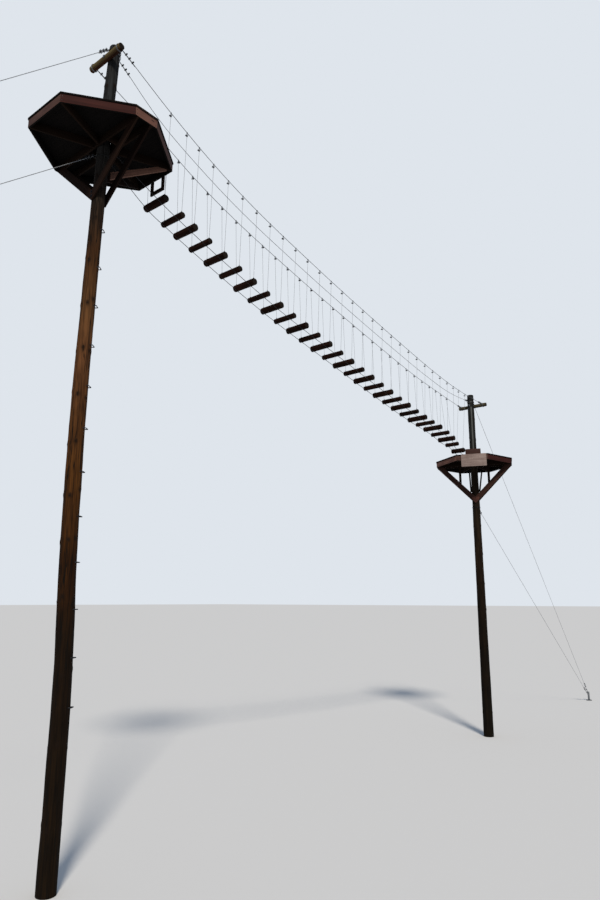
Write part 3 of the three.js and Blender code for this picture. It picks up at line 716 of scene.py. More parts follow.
def disc(radius, thick, sides=6, ease=0.0015, segments=1):
    """A nut, a washer, a screw's head or a bar, upright on z = 0, with eased rims."""
    bm = bmesh.new()
    bmesh.ops.create_cone(bm, cap_ends=True, segments=sides, radius1=radius, radius2=radius, depth=thick)
    bmesh.ops.translate(bm, vec=(0, 0, thick / 2), verts=bm.verts)
    soften(bm, [e for e in bm.edges if e.calc_face_angle() > 1.4], ease, segments, clamp=False)
    return bm


def slab(size, ease):
    """A small block of steel round the origin, with eased edges."""
    bm = bmesh.new()
    bmesh.ops.create_cube(bm, size=1.0)
    bmesh.ops.scale(bm, vec=size, verts=bm.verts)
    soften(bm, bm.edges[:], ease, clamp=False)
    return bm


def bolt(bm, place, outward, size=0.016, square=False):
    """A bolt's end on a face: a washer, a nut and the thread's tip."""
    where = facing(outward, place)
    washer = disc(size * 2.6, 0.005, 4) if square else disc(size * 1.9, 0.005, 20)
    for part, lift in ((washer, 0), (disc(size, 0.014), 0.005), (disc(size * 0.5, 0.012, 12), 0.018)):
        gather(bm, part, where @ Matrix.Translation((0, 0, lift)))


def screw_head(bm, place, outward, size=0.006):
    """A countersunk screw's head, a little proud of the board."""
    gather(bm, disc(size, 0.002, 10), facing(outward, place))


def clip():
    """A wire rope clip round two ropes that run along x: U-bolt, forged saddle and two nuts."""
    bm = bmesh.new()
    bend = arc((0, 0, -0.014), (0, 0.02, 0), (0, 0, -0.02), 0, math.pi, 8)
    rope(bm, [Vector((0, 0.02, 0.05)), *bend, Vector((0, -0.02, 0.05))], 0.006)
    gather(bm, slab((0.036, 0.07, 0.02), 0.005), Matrix.Translation((0, 0, 0.016)))
    for y in (-0.02, 0.02):
        gather(bm, disc(0.012, 0.013), Matrix.Translation((0, y, 0.026)))
    return bm


def eye(bm, centre, radius, thick):
    """A round steel eye in the bridge's own plane."""
    rope(bm, arc(centre, (radius, 0, 0), (0, 0, radius), 0, 2 * math.pi, 16), thick)


def along_x(direction, place):
    """A place whose x axis points in a direction, with z as upright as it can be."""
    x = Vector(direction).normalized()
    y = Vector((0, 0, 1)).cross(x)
    y = Vector((0, 1, 0)) if y.length < 1e-3 else y.normalized()
    z = x.cross(y)
    turn = Matrix((x, y, z)).transposed().to_4x4()
    return Matrix.Translation(place) @ turn


def wound(centre, axis, held, thick, leave, turns=2):
    """A cable's turns round a log, from the place where it leaves; axis is 1 for y and 2 for z."""
    radius = held + thick + ROPE_GAP
    along, beside = (ACROSS, UP) if axis == 1 else (UP, ACROSS)
    last = leave + 2 * math.pi * turns
    ring = arc(centre, (radius, 0, 0), beside * radius, leave, last, TURN_STEPS * turns)
    pitch = TURN_PITCH * thick
    return [place + along * (i / TURN_STEPS - turns / 2) * pitch for i, place in enumerate(ring)]


def tied_end(ropes, clips, place, direction, thick):
    """The cable's tail, laid back along its standing part and held by three clips."""
    direction = Vector(direction).normalized()
    below = along_x(direction, (0, 0, 0)).to_3x3() @ Vector((0, 0, -TURN_PITCH * thick))
    start = Vector(place) + direction * 0.03 + below
    rope(ropes, [start + direction * 0.1 * i for i in range(5)], thick)
    for away in TAIL_CLIPS:
        gather(clips, clip(), along_x(direction, Vector(place) + direction * away))


# Poles, crossarms and climbing staples

def held_at(side, height):
    """The centre and the radius of the tall pole (-1) or the far one (1) at a height."""
    if side < 0:
        return left_centre(height), radius_at(LEFT_POLE, height)
    return right_centre(height), radius_at(RIGHT_POLE, height)


def aside(angle, bearing):
    """How far an angle is turned from a bearing, from half a turn back to half a turn on."""
    return (angle - bearing + math.pi) % (2 * math.pi) - math.pi


def pole(name, size, centre_at, whorls, material, node, seed, stripe=None):
    """A tall log with its bow, its whorls of branch knots and its flat sawn top."""
    length, foot, top = size
    proud, half_wide, half_tall, looked_for = KNOT
    bm = log(length, foot, top, sides=48, cuts=420)
    roughen(bm, 0.007, seed)
    knot = bm.verts.layers.float.new("knot")
    pale = bm.verts.layers.float.new("stripe")
    knots = []
    for whorl in whorls:
        for i in range(KNOTS_ROUND):
            height = whorl + chance.uniform(-0.09, 0.09)
            knots.append((height, 2 * math.pi * (i + chance.uniform(-0.3, 0.3)) / KNOTS_ROUND))
    for v in bm.verts:
        angle = math.atan2(v.co.y, v.co.x)
        radius = math.hypot(v.co.x, v.co.y)
        for height, bearing in knots:
            rise = v.co.z - height
            if abs(rise) > looked_for or radius < 0.05:
                continue
            across = aside(angle, bearing) * radius
            near = math.exp(-((across / half_wide) ** 2) - (rise / half_tall) ** 2)
            v.co.x += proud * near * math.cos(angle)
            v.co.y += proud * near * math.sin(angle)
            v[knot] = max(v[knot], min(1.0, 1.3 * near))
        if stripe:
            low, high, bearing, half = stripe
            if low < v.co.z < high:
                v[pale] = math.exp(-((aside(angle, bearing) * radius / half) ** 2))
        v.co.x += centre_at(v.co.z)
    piece(name, bm, [material, pole_end], [node])


CAMERA_SIDE = math.atan2(-0.629, -0.777)
pole("tall_log_pole", LEFT_POLE, left_centre, LEFT_KNOTS, tall_pole_wood, "left_pole", 3.1)
pole(
    "far_log_pole", RIGHT_POLE, right_centre, RIGHT_KNOTS, far_pole_wood, "right_pole", 8.7,
    stripe=(RIGHT_DECK + 0.25, 13.75, CAMERA_SIDE - 0.15, 0.02),
)


def arm_centre(side):
    centre, held = held_at(side, (LEFT_ARM if side < 0 else RIGHT_ARM)[0])
    return centre + side * (held + ARM_RADIUS - ARM_NOTCH)


def crossarm(name, side, node, wood):
    """A short log let into the outboard face of the pole and bolted through it."""
    height, length, shift = LEFT_ARM if side < 0 else RIGHT_ARM
    centre, held = held_at(side, height)
    bm = log(length, ARM_RADIUS, ARM_RADIUS - 0.003, sides=32, cuts=40)
    roughen(bm, 0.006, 5.0 + side)
    bm.verts.layers.float.new("knot")
    x = arm_centre(side)
    lying = Matrix.Translation((x, shift - length / 2, height)) @ Matrix.Rotation(-math.pi / 2, 4, "X")
    piece(name, bm, [wood, tread_end], [node], lying)
    bolts = bmesh.new()
    bolt(bolts, (x + side * (ARM_RADIUS + 0.001), 0, height), (side, 0, 0), 0.018, square=True)
    bolt(bolts, (centre - side * (held + 0.001), 0, height), (-side, 0, 0), 0.018, square=True)
    piece(name + "_bolts", bolts, [fitting_steel])


crossarm("tall_pole_crossarm", -1, "left_crossarm", arm_wood)
crossarm("far_pole_crossarm", 1, "right_crossarm", far_arm_wood)


def climbing_staples():
    """Steel rungs driven into the tall pole: two legs and a bar that stands 45 mm proud."""
    bm = bmesh.new()
    tangent = Vector((-STAPLE_SIDE.y, STAPLE_SIDE.x, 0.0))
    half, proud, corner = STAPLE
    for i in range(STAPLE_COUNT):
        height = STAPLE_TOP - STAPLE_STEP * i
        centre = Vector((left_centre(height), 0, height))
        held = radius_at(LEFT_POLE, height)
        outer = held + proud
        places = (
            (half, 0.75 * held),
            (half, outer - corner),
            (half - 0.3 * corner, outer - 0.3 * corner),
            (half - corner, outer),
        )
        points = []
        for hand in (-1, 1):
            leg = [centre + tangent * hand * across + STAPLE_SIDE * out for across, out in places]
            points += leg if hand < 0 else reversed(leg)
        rope(bm, points, 0.01, 10)
    piece("climbing_staples", bm, [dark_steel])


climbing_staples()


# Platforms

def octagon(inset=0.0):
    """The platform's outline in plan, moved inwards, anticlockwise."""
    slope = Vector((END_HALF - FLAT_SIDE_HALF, FLAT_HALF - END_SIDE_HALF))
    half = slope.length
    ex = END_HALF - inset
    ey = END_SIDE_HALF - inset * (half - slope.x) / slope.y
    fx = FLAT_SIDE_HALF - inset * (half - slope.y) / slope.x
    fy = FLAT_HALF - inset
    corners = [(ex, -ey), (ex, ey), (fx, fy), (-fx, fy), (-ex, ey), (-ex, -ey), (-fx, -fy), (fx, -fy)]
    return [Vector((x, y, 0.0)) for x, y in corners]


def bored(made, centre, radius):
    """Cuts the pole's hole through a deck."""
    cutter_mesh = bpy.data.meshes.new("cutter")
    bm = bmesh.new()
    bmesh.ops.create_cone(bm, cap_ends=True, segments=40, radius1=radius, radius2=radius, depth=1.0)
    bmesh.ops.translate(bm, vec=centre, verts=bm.verts)
    bmesh.ops.scale(bm, vec=(M, M, M), verts=bm.verts)
    bm.to_mesh(cutter_mesh)
    bm.free()
    cutter = bpy.data.objects.new("cutter", cutter_mesh)
    scene.collection.objects.link(cutter)
    cut = made.modifiers.new("hole", "BOOLEAN")
    cut.operation = "DIFFERENCE"
    cut.solver = "EXACT"
    cut.object = cutter
    bpy.context.view_layer.update()
    drawn = made.evaluated_get(bpy.context.evaluated_depsgraph_get())
    mesh = bpy.data.meshes.new_from_object(drawn)
    made.modifiers.clear()
    made.data = mesh
    bpy.data.objects.remove(cutter)


def deck(prefix, where, top, hole):
    """Planks laid across the bridge, cut off round the platform's edge, with a screw at each bearer."""
    whole = boards()
    screws = bmesh.new()
    pitch = 2 * END_HALF / PLANK_ROWS
    outline = octagon()
    for i in range(PLANK_ROWS):
        x = -END_HALF + pitch * i
        sag = chance.uniform(0, 0.002)
        low = (x + PLANK_NICK, -FLAT_HALF, top - PLANK)
        high = (x + pitch - PLANK_NICK, FLAT_HALF, top - sag)
        gather(whole, block(low, high, (0, 1, 0), (1, 0, 0), FINE_EASE, outline))
        middle = x + pitch / 2
        reach = min(FLAT_HALF, FLAT_HALF - (abs(middle) - FLAT_SIDE_HALF) * EDGE_SLOPE)
        bearer = abs(middle) * math.tan(CORNER)
        for y in (reach - SCREW_INSET, -reach + SCREW_INSET, bearer, -bearer):
            for shift in (-SCREW_SHIFT, SCREW_SHIFT):
                if abs(y) < reach - 0.02 and math.hypot(middle + shift, y) > hole + 0.03:
                    screw_head(screws, (middle + shift, y, top - sag), (0, 0, 1))
    # Faces below the deck's top that face down or into the gaps between planks take the near-black painted
    # shade.
    for face in whole.faces:
        middle = face.calc_center_median()
        if middle.z < top - 0.006 and (face.normal.z < -0.3 or abs(face.normal.x) > 0.6):
            face.material_index = 2
    finishes = [deck_wood, board_end, painted_shade_under_wood]
    made = piece(prefix + "_deck_planks", whole, finishes, [prefix + "_deck"], where)
    bored(made, where @ Vector((0, 0, top)), hole)
    piece(prefix + "_deck_screws", screws, [dark_steel], where=where)


def rim(prefix, where, top, red=(), pale=()):
    """Eight mitred boards round the bearers, each screwed at its ends.

    The boards of some sides take a darker red copy of the stain as painted shade, and those of others a
    paler copy as painted light.
    """
    whole = boards()
    screws = bmesh.new()
    outer = octagon(OVERHANG)
    inner = octagon(OVERHANG + RIM)
    low = top - PLANK - GAP - DEPTH
    lift = Vector((0, 0, low))
    for i in range(8):
        j = (i + 1) % 8
        side = (outer[j] - outer[i]).normalized()
        nick = side * 0.0008
        outline = [outer[i] + nick, outer[j] - nick, inner[j] - nick, inner[i] + nick]
        board = timber([corner + lift for corner in outline], (0, 0, DEPTH), side, (0, 0, 1))
        # Sides listed in red take the darker painted-shade copy of the stain, those in pale the paler
        # painted-light copy.
        for face in board.faces:
            if face.material_index == 0 and i in (*red, *pale):
                face.material_index = 3 if i in red else 4
        gather(whole, board)
        outward = Vector((side.y, -side.x, 0.0))
        for end, away in ((outer[i], side), (outer[j], -side)):
            for height in BOARD_FIXINGS:
                screw_head(screws, end + away * 0.035 + Vector((0, 0, low + height)), outward, 0.009)
    # The rim's faces inside the frame and underneath take the near-black painted shade.
    for face in whole.faces:
        inward = face.normal.xy.dot(face.calc_center_median().xy) < -0.5
        if inward or face.normal.z < -0.8:
            face.material_index = 2
    finishes = [rim_wood, board_end, painted_shade_under_wood, painted_shade_rim_wood, painted_light_rim_wood]
    piece(prefix + "_rim_boards", whole, finishes, [prefix + "_rim"], where)
    piece(prefix + "_rim_screws", screws, [dark_steel], where=where)


def bearers(prefix, where, top, clasp, extra=()):
    """Two beams that clasp the pole, two blocks between them and a joist to each end corner."""
    whole = boards()
    high = top - PLANK - GAP
    low = high - DEPTH
    inside = octagon(OVERHANG + RIM + GAP)
    half = JOIST / 2
    beam = clasp + GAP + half
    for side in (-1, 1):
        x = side * beam
        start = (x - half, -FLAT_HALF, low)
        gather(whole, block(start, (x + half, FLAT_HALF, high), (0, 1, 0), (0, 0, 1), FINE_EASE, inside))
        y = side * BLOCK_OFFSET
        start = (-beam + half, y - half, low)
        gather(whole, block(start, (beam - half, y + half, high), (1, 0, 0), (0, 0, 1), FINE_EASE))
    start = (clasp + GAP + JOIST) / math.cos(CORNER) + 0.004
    for heading in (CORNER, -CORNER, math.pi - CORNER, math.pi + CORNER):
        ahead = Vector((math.cos(heading), math.sin(heading), 0.0))
        beside = Vector((-ahead.y, ahead.x, 0.0)) * half
        base = Vector((0, 0, low))
        corners = ((start, -1), (JOIST_REACH, -1), (JOIST_REACH, 1), (start, 1))
        outline = [ahead * r + beside * hand + base for r, hand in corners]
        gather(whole, timber(outline, (0, 0, DEPTH), ahead, (0, 0, 1), FINE_EASE, inside))
    for part in extra:
        gather(whole, part)
    # The beams, blocks, joists and posts take the near-black painted shade of the underside.
    piece(prefix + "_bearers", whole, [painted_shade_joist_wood, board_end], [prefix + "_joists"], where)


def brace_line(top, foot):
    """Top, climb and upright depth of the knee braces."""
    under = top - PLANK - 2 * GAP - DEPTH
    climb = (under - foot) / BRACE_TIP
    return under, climb, BRACE_DEPTH * math.hypot(1, climb)


def knee_braces(platform, name, face, material, gusset=None):
    """Two boards that meet in a V on one face of the pole, bolted through it."""
    prefix, where, top, foot, size, centre_at = platform
    whole = boards()
    bolts = bmesh.new()
    under, climb, deep = brace_line(top, foot)
    heights = [foot + 2 * deep * i / 8 for i in range(9)]
    bearing = max(face * (centre_at(h) - centre_at(top)) + radius_at(size, h) for h in heights)
    x = face * (bearing + GAP + BRACE / 2) - BRACE / 2
    outside = x + (BRACE if face > 0 else 0)
    inner = BRACE_TIP - deep / climb
    for side in (-1, 1):
        butt = side * 0.001
        corners = [(butt, foot), (side * BRACE_TIP, under), (side * inner, under), (butt, foot + deep)]
        outline = [Vector((x, y, z)) for y, z in corners]
        gather(whole, timber(outline, (BRACE, 0, 0), (0, side, climb), (0, -side * climb, 1)))
        for share in (0.04, 0.1):
            y = side * BRACE_TIP * (1 - share)
            z = under - BRACE_TIP * share * climb + 0.45 * deep
            if z < under - 0.03:
                screw_head(bolts, (outside, y, z), (face, 0, 0), 0.009)
    for height in (foot + 0.42 * deep, foot + 0.82 * deep):
        bolt(bolts, (outside, 0, height), (face, 0, 0), square=True)
    if gusset:
        half, thick = gusset
        low = foot + 0.02
        high = foot + 0.95 * deep
        rise = low + half * climb
        near = outside if face > 0 else outside - thick
        corners = [(0, low), (half, rise), (half, high), (-half, high), (-half, rise)]
        outline = [Vector((near, y, z)) for y, z in corners]
        patch = timber(outline, (thick, 0, 0), (0, 1, 0), (0, 0, 1), FINE_EASE)
        for side_face in patch.faces:
            side_face.material_index = 2
        gather(whole, patch)
    node = prefix + "_brace_" + name
    piece(node + "_boards", whole, [material, board_end, gusset_wood], [node], where)
    piece(node + "_bolts", bolts, [dark_steel], where=where)


left_place = Matrix.Translation((left_centre(LEFT_DECK), 0, 0))
right_place = Matrix.Translation((SPAN, 0, 0)) @ Matrix.Rotation(RIGHT_TURN, 4, "Z")
left_clasp = radius_at(LEFT_POLE, LEFT_DECK) + CLEARANCE[0]
right_clasp = radius_at(RIGHT_POLE, RIGHT_DECK) + CLEARANCE[1]

deck("left", left_place, LEFT_DECK, radius_at(LEFT_POLE, LEFT_DECK) + HOLE_MARGIN)
# Side 5 takes the painted-shade copy of the rim stain and side 6 the painted-light copy.
rim("left", left_place, LEFT_DECK, red=(5,), pale=(6,))
bearers("left", left_place, LEFT_DECK, left_clasp)
left_platform = ("left", left_place, LEFT_DECK, LEFT_FOOT, LEFT_POLE, left_centre)
# Both V braces of the tall platform take near-black board colours that are painted shade under its deck.
knee_braces(left_platform, "bridge_side", 1, painted_shade_brace_wood)
# The outer V takes its own near-black painted-shade board colour.
knee_braces(left_platform, "outer_side", -1, painted_shade_outer_brace_wood)


def end_braces():
    """Boards that rise from the tall pole to the bridge-side corners of its platform."""
    under = LEFT_DECK - PLANK - 2 * GAP - DEPTH
    thick, deep, foot, reach = END_BRACE
    start = left_clasp + 0.03
    slope = math.atan2(under - foot, reach - start)
    rise = deep / math.cos(slope)
    corners = [
        (start, foot - rise / 2),
        (reach + 0.02, under - 0.03),
        (reach + 0.02, under),
        (reach - rise / 2 / math.tan(slope), under),
        (start, foot + rise / 2),
    ]
    outline = [Vector((r, -thick / 2, z)) for r, z in corners]
    along = (math.cos(slope), 0, math.sin(slope))
    across = (-math.sin(slope), 0, math.cos(slope))
    # The near end brace takes the paler painted-light copy of the board stain, the far one the near-black
    # painted shade.
    for heading, name, wood in ((-CORNER, "near", painted_light_brace_wood), (CORNER, "far", painted_shade_brace_wood)):
        board = timber(outline, (0, thick, 0), along, across)
        where = left_place @ Matrix.Rotation(heading, 4, "Z")
        node = "left_end_brace_" + name
        piece(node + "_board", board, [wood, board_end], [node], where)


end_braces()


def hanging_step():
    """A U of boards bolted to the bridge-side rim: a foothold between the deck and the first tread."""
    whole = boards()
    bolts = bmesh.new()
    width, offset, leg, thick, drop = STEP
    face = END_HALF - OVERHANG + GAP
    outer = face + thick
    high = LEFT_DECK - PLANK - 2 * GAP
    low = high - DEPTH - drop + leg
    left = offset - width / 2
    for y in (left, left + width - leg):
        gather(whole, block((face, y, low + 0.0005), (outer, y + leg, high), (0, 0, 1), (0, 1, 0)))
        for height in BOARD_FIXINGS:
            bolt(bolts, (outer, y + leg / 2, high - height), (1, 0, 0), 0.013)
        screw_head(bolts, (outer, y + leg / 2, low - leg / 2), (1, 0, 0), 0.008)
    gather(whole, block((face, left, low - leg), (outer, left + width, low), (0, 1, 0), (0, 0, 1)))
    # The step takes the braces' near-black board colour, which is painted shade.
    wood = [painted_shade_brace_wood, board_end]
    piece("hanging_step_boards", whole, wood, ["left_hanging_step"], left_place)
    piece("hanging_step_bolts", bolts, [fitting_steel], where=left_place)


hanging_step()


def posts():
    """Short uprights between the far platform's braces and its beam."""
    made = []
    high = RIGHT_DECK - PLANK - GAP - DEPTH + 0.05
    _, climb, deep = brace_line(RIGHT_DECK, RIGHT_FOOT)
    x = -(radius_at(RIGHT_POLE, RIGHT_FOOT) + BRACE / 2) - BRACE / 2
    offset, thick = POST
    inner = offset - thick / 2
    outer = offset + thick / 2
    foot = RIGHT_FOOT + deep + 0.004
    corners = ((inner, foot + inner * climb), (outer, foot + outer * climb), (outer, high), (inner, high))
    for side in (-1, 1):
        outline = [Vector((x, side * y, z)) for y, z in corners]
        made.append(timber(outline, (BRACE, 0, 0), (0, 0, 1), (0, 1, 0)))
    return made


deck("right", right_place, RIGHT_DECK, radius_at(RIGHT_POLE, RIGHT_DECK) + HOLE_MARGIN)
# Side 5 takes the painted-shade copy of the rim stain and side 3 the painted-light copy.
rim("right", right_place, RIGHT_DECK, red=(5,), pale=(3,))
bearers("right", right_place, RIGHT_DECK, right_clasp, posts())
right_platform = ("right", right_place, RIGHT_DECK, RIGHT_FOOT, RIGHT_POLE, right_centre)
knee_braces(right_platform, "bridge_side", -1, far_brace_wood, GUSSET)
knee_braces(right_platform, "outer_side", 1, far_brace_wood)


def thin_braces():
    """Peeled thin poles from the far pole's flanks to the outer end of its platform."""
    top = RIGHT_DECK - PLANK - 2 * GAP - DEPTH
    thick, foot, reach, spread = THIN_BRACE
    for side, name in ((-1, "near"), (1, "far")):
        flank = radius_at(RIGHT_POLE, foot) + thick / 2 - 0.006
        start = Vector((0, side * flank, foot))
        run = Vector((reach, side * spread, top + DEPTH)) - start
        bm = log(run.length, thick / 2 + 0.001, thick / 2 - 0.001, sides=16, cuts=24, ease=0.003)
        roughen(bm, 0.0015, side)
        bm.transform(facing(run, start))
        cut_off(bm, (0, 0, top), (0, 0, 1))
        node = "right_thin_brace_" + name
        piece(node + "_pole", bm, [thin_pole_wood, board_end], [node], right_place)


thin_braces()


def landing_panel():
    """A plywood sheet on the bridge-side end of the far platform, screwed to its rim."""
    width, height, thick, offset = PANEL
    face = -END_HALF - GAP
    low = (face - thick, offset - width / 2, RIGHT_DECK - height)
    high = (face, offset + width / 2, RIGHT_DECK)
    bm = block(low, high, (0, 1, 0), (0, 0, 1), 0.0015)
    layer = bm.loops.layers.uv.verify()
    for f in bm.faces:
        if abs(f.normal.x) < 0.6:
            f.material_index = 1
            run = Vector((0, 1, 0)) if abs(f.normal.z) > 0.6 else Vector((0, 0, 1))
            for loop in f.loops:
                loop[layer].uv = (loop.vert.co.dot(run), loop.vert.co.x)
    wood = [panel_face, panel_edge]
    piece("landing_plywood_panel", bm, wood, ["right_landing_panel"], right_place)
    screws = bmesh.new()
    for share in (-0.45, -0.23, 0.0, 0.23, 0.45):
        for drop in (0.07, 0.2):
            place = (face - thick, offset + share * width, RIGHT_DECK - drop)
            screw_head(screws, place, (-1, 0, 0), 0.007)
    piece("landing_panel_screws", screws, [dark_steel], where=right_place)


landing_panel()


def step_box():
    """A low step of boards on the far deck: four sides under a two-board top."""
    whole = boards()
    width, depth, height, inset, offset = BOX
    near = -END_HALF + inset
    far = near + depth
    left = offset - width / 2
    right = left + width
    low = RIGHT_DECK + GAP
    high = low + height
    t = BOX_BOARD
    nick = 0.0005
    for x in (near, far - t):
        gather(whole, block((x, left, low), (x + t, right, high - t), (0, 1, 0), (0, 0, 1), FINE_EASE))
    for y in (left, right - t):
        start = (near + t + nick, y, low)
        gather(whole, block(start, (far - t - nick, y + t, high - t), (1, 0, 0), (0, 0, 1), FINE_EASE))
    middle = (near + far) / 2
    for x0, x1 in ((near, middle - PLANK_NICK), (middle + PLANK_NICK, far)):
        gather(whole, block((x0, left, high - t + nick), (x1, right, high), (0, 1, 0), (1, 0, 0), FINE_EASE))
    piece("step_box_boards", whole, [box_wood, board_end], ["right_step_box"], right_place)


step_box()


# Treads

tread_places = []
for number in range(1, TREAD_COUNT + 1):
    low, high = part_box(f"tread_{number:02d}")
    middle = (low + high) / 2 / M
    tread_places.append((middle.x, high.z / M, (high.y - low.y) / M))


def girth_of(number):
    """A tread log's radius: thick and slim ones in turn."""
    return TREAD_THICK if number % 2 else TREAD_SLIM


def tread_log(number, x, flat, length):
    """A short round log, rough and slightly tapered, with a narrow sawn flat to stand on."""
    girth = girth_of(number)
    foot = girth * chance.uniform(0.98, 1.0)
    bm = log(length, foot, girth * chance.uniform(0.95, 0.98), sides=28, cuts=22, ease=0.012)
    roughen(bm, 0.004, 2.3 * number, 0.5)
    lying = Matrix.Rotation(-math.pi / 2, 4, "X") @ Matrix.Rotation(chance.uniform(0, 6), 4, "Z")
    bm.transform(Matrix.Translation((x, -length / 2, flat + TREAD_FLAT - girth)) @ lying)
    edges, faces = cut_off(bm, (0, 0, flat), (0, 0, 1))
    for face in faces:
        face.material_index = 2
    soften(bm, edges, 0.004)
    name = f"tread_{number:02d}"
    piece(name + "_log", bm, [tread_bark, tread_end, tread_face], [name])


for number, (x, flat, length) in enumerate(tread_places, 1):
    tread_log(number, x, flat, length)


# Cables

def slung(ropes, clips, ends, middle, thick, axis, sides=8, bark=0.0, far_turns=2):
    """A cable between two logs: its curve, its turns round each and its clipped tails."""
    (left, left_held), (right, right_held) = ends
    start = left + Vector((left_held + thick + ROPE_GAP, 0, 0))
    finish = right - Vector((right_held + thick + ROPE_GAP, 0, 0))
    line = through([start, *middle, finish], CABLE_STEPS)
    rope(ropes, line, thick, sides)
    rope(ropes, wound(left, axis, left_held + bark, thick, 0.0), thick)
    rope(ropes, wound(right, axis, right_held + bark, thick, math.pi, far_turns), thick)
    tied_end(ropes, clips, line[0], line[1] - line[0], thick)
    tied_end(ropes, clips, line[-1], line[-2] - line[-1], thick)
    return line


def suspension(side, name, node):
    """The main cable with its loops round the crossarms, and a hanger at each tread."""
    ropes = bmesh.new()
    clips = bmesh.new()
    hangers = bmesh.new()
    left = Vector((arm_centre(-1), side * ARM_LOOP, LEFT_ARM[0]))
    right = Vector((arm_centre(1), side * ARM_LOOP, RIGHT_ARM[0]))
    ends = ((left, ARM_RADIUS), (right, ARM_RADIUS))
    middle = [Vector((x, side * HANGER_TOP, z)) for x, z in MAIN_LINE]
    line = slung(ropes, clips, ends, middle, MAIN_CABLE, 1, sides=10, far_turns=1)
    for x, flat, length in tread_places:
        foot = length / 2 - HANGER_INSET if length < SHORT_TREAD else HANGER_FOOT
        top = at(line, x)
        base = Vector((x, side * foot, flat))
        up = (top - base).normalized()
        rope(hangers, [base + up * HANGER_EYE, base.lerp(top, 0.5), top - up * HANGER_EYE], HANGER, 6)
        ahead = (at(line, x + 0.1) - at(line, x - 0.1)).normalized()
        quarter = math.pi / 2
        top_eye = arc(top - up * 0.012, ahead.cross(up) * 0.02, up * 0.026, -quarter, 3 * quarter, 14)
        rope(clips, top_eye, 0.006, 6)
        gather(clips, clip(), along_x(up, top - up * 0.075))
        low_eye = arc(base + up * HANGER_EYE, ahead * 0.014, up * 0.016, -quarter, 3 * quarter, 12)
        rope(clips, low_eye, 0.005, 6)
        gather(clips, disc(0.024, 0.004, 16), Matrix.Translation(base))
        gather(clips, disc(0.012, 0.012), Matrix.Translation(base + Vector((0, 0, 0.004))))
    for face in hangers.faces:
        face.material_index = 1
    gather(ropes, hangers)
    piece(name, ropes, [rope_steel, hanger_rope], [node])
    piece(name + "_fittings", clips, [clip_steel])


suspension(-1, "near_main_cable_and_hangers", "suspension_cable_near")
suspension(1, "far_main_cable_and_hangers", "suspension_cable_far")


def belay_line():
    """The safety cable between the poles, over the walkway."""
    ropes = bmesh.new()
    clips = bmesh.new()
    left_height, right_height = BELAY_HEIGHTS
    left = Vector((left_centre(left_height), 0, left_height))
    right = Vector((SPAN, 0, right_height))
    ends = ((left, radius_at(LEFT_POLE, left_height)), (right, radius_at(RIGHT_POLE, right_height)))
    middle = [Vector((x, 0, z - BELAY_DROP)) for x, z in MAIN_LINE]
    slung(ropes, clips, ends, middle, BELAY_CABLE, 2, bark=0.006)
    piece("belay_safety_cable", ropes, [rope_steel], ["belay_cable"])
    piece("belay_cable_clips", clips, [dark_steel])


belay_line()


def foot_cable(side, name, node):
    """A cable under the treads, stapled to each, from the tall platform's beam to the far pole."""
    ropes = bmesh.new()
    clips = bmesh.new()
    offset, height = LEFT_FOOT_ANCHOR
    start = Vector((left_centre(LEFT_DECK) + left_clasp + 3 * GAP + JOIST, side * offset, height))
    points = [start]
    centres = [flat + TREAD_FLAT - girth_of(number) for number, (_, flat, _) in enumerate(tread_places, 1)]
    for i, (x, _, length) in enumerate(tread_places):
        near = max(i - 1, 0)
        far = min(i + 1, TREAD_COUNT - 1)
        climb = (centres[far] - centres[near]) / (tread_places[far][0] - tread_places[near][0])
        below = (TREAD_THICK + FOOT_CABLE + FOOT_SLACK) * math.hypot(1, climb)
        across = FOOT_SHORT if length < SHORT_TREAD else FOOT_OFFSET
        points.append(Vector((x, side * across, centres[i] - below)))
    height, rise = RIGHT_FOOT_ANCHOR
    height += rise if side > 0 else 0
    held = radius_at(RIGHT_POLE, height)
    reach = held + FOOT_CABLE + ROPE_GAP
    leave = math.pi - side * math.radians(40)
    points.append(Vector((SPAN + reach * math.cos(leave), reach * math.sin(leave), height)))
    line = through(points, FOOT_STEPS)
    rope(ropes, line, FOOT_CABLE)
    rope(ropes, wound(Vector((SPAN, 0, height)), 2, held, FOOT_CABLE, leave, 1), FOOT_CABLE)
    tied_end(ropes, clips, line[-1], line[-2] - line[-1], FOOT_CABLE)
    tied_end(ropes, clips, start, line[1] - start, FOOT_CABLE)
    half, leg_height, thick = TREAD_STAPLE
    leg = UP * leg_height
    for place in points[1:-1]:
        hoop = arc(place, ACROSS * half, UP * -half, 0, math.pi, 6)
        rope(clips, [hoop[0] + leg, *hoop, hoop[-1] + leg], thick, 6)
    gather(clips, slab((0.008, 0.07, 0.12), 0.002), Matrix.Translation(start + Vector((0.002, 0, 0.055))))
    for y, z in ((-0.018, 0.07), (0.018, 0.1)):
        bolt(clips, start + Vector((0.006, y, z)), (1, 0, 0), 0.01)
    eye(clips, start, 0.022, 0.006)
    piece(name, ropes, [grimy_rope], [node])
    piece(name + "_fittings", clips, [dark_steel])


foot_cable(-1, "near_foot_cable", "foot_cable_near")
foot_cable(1, "far_foot_cable", "foot_cable_far")


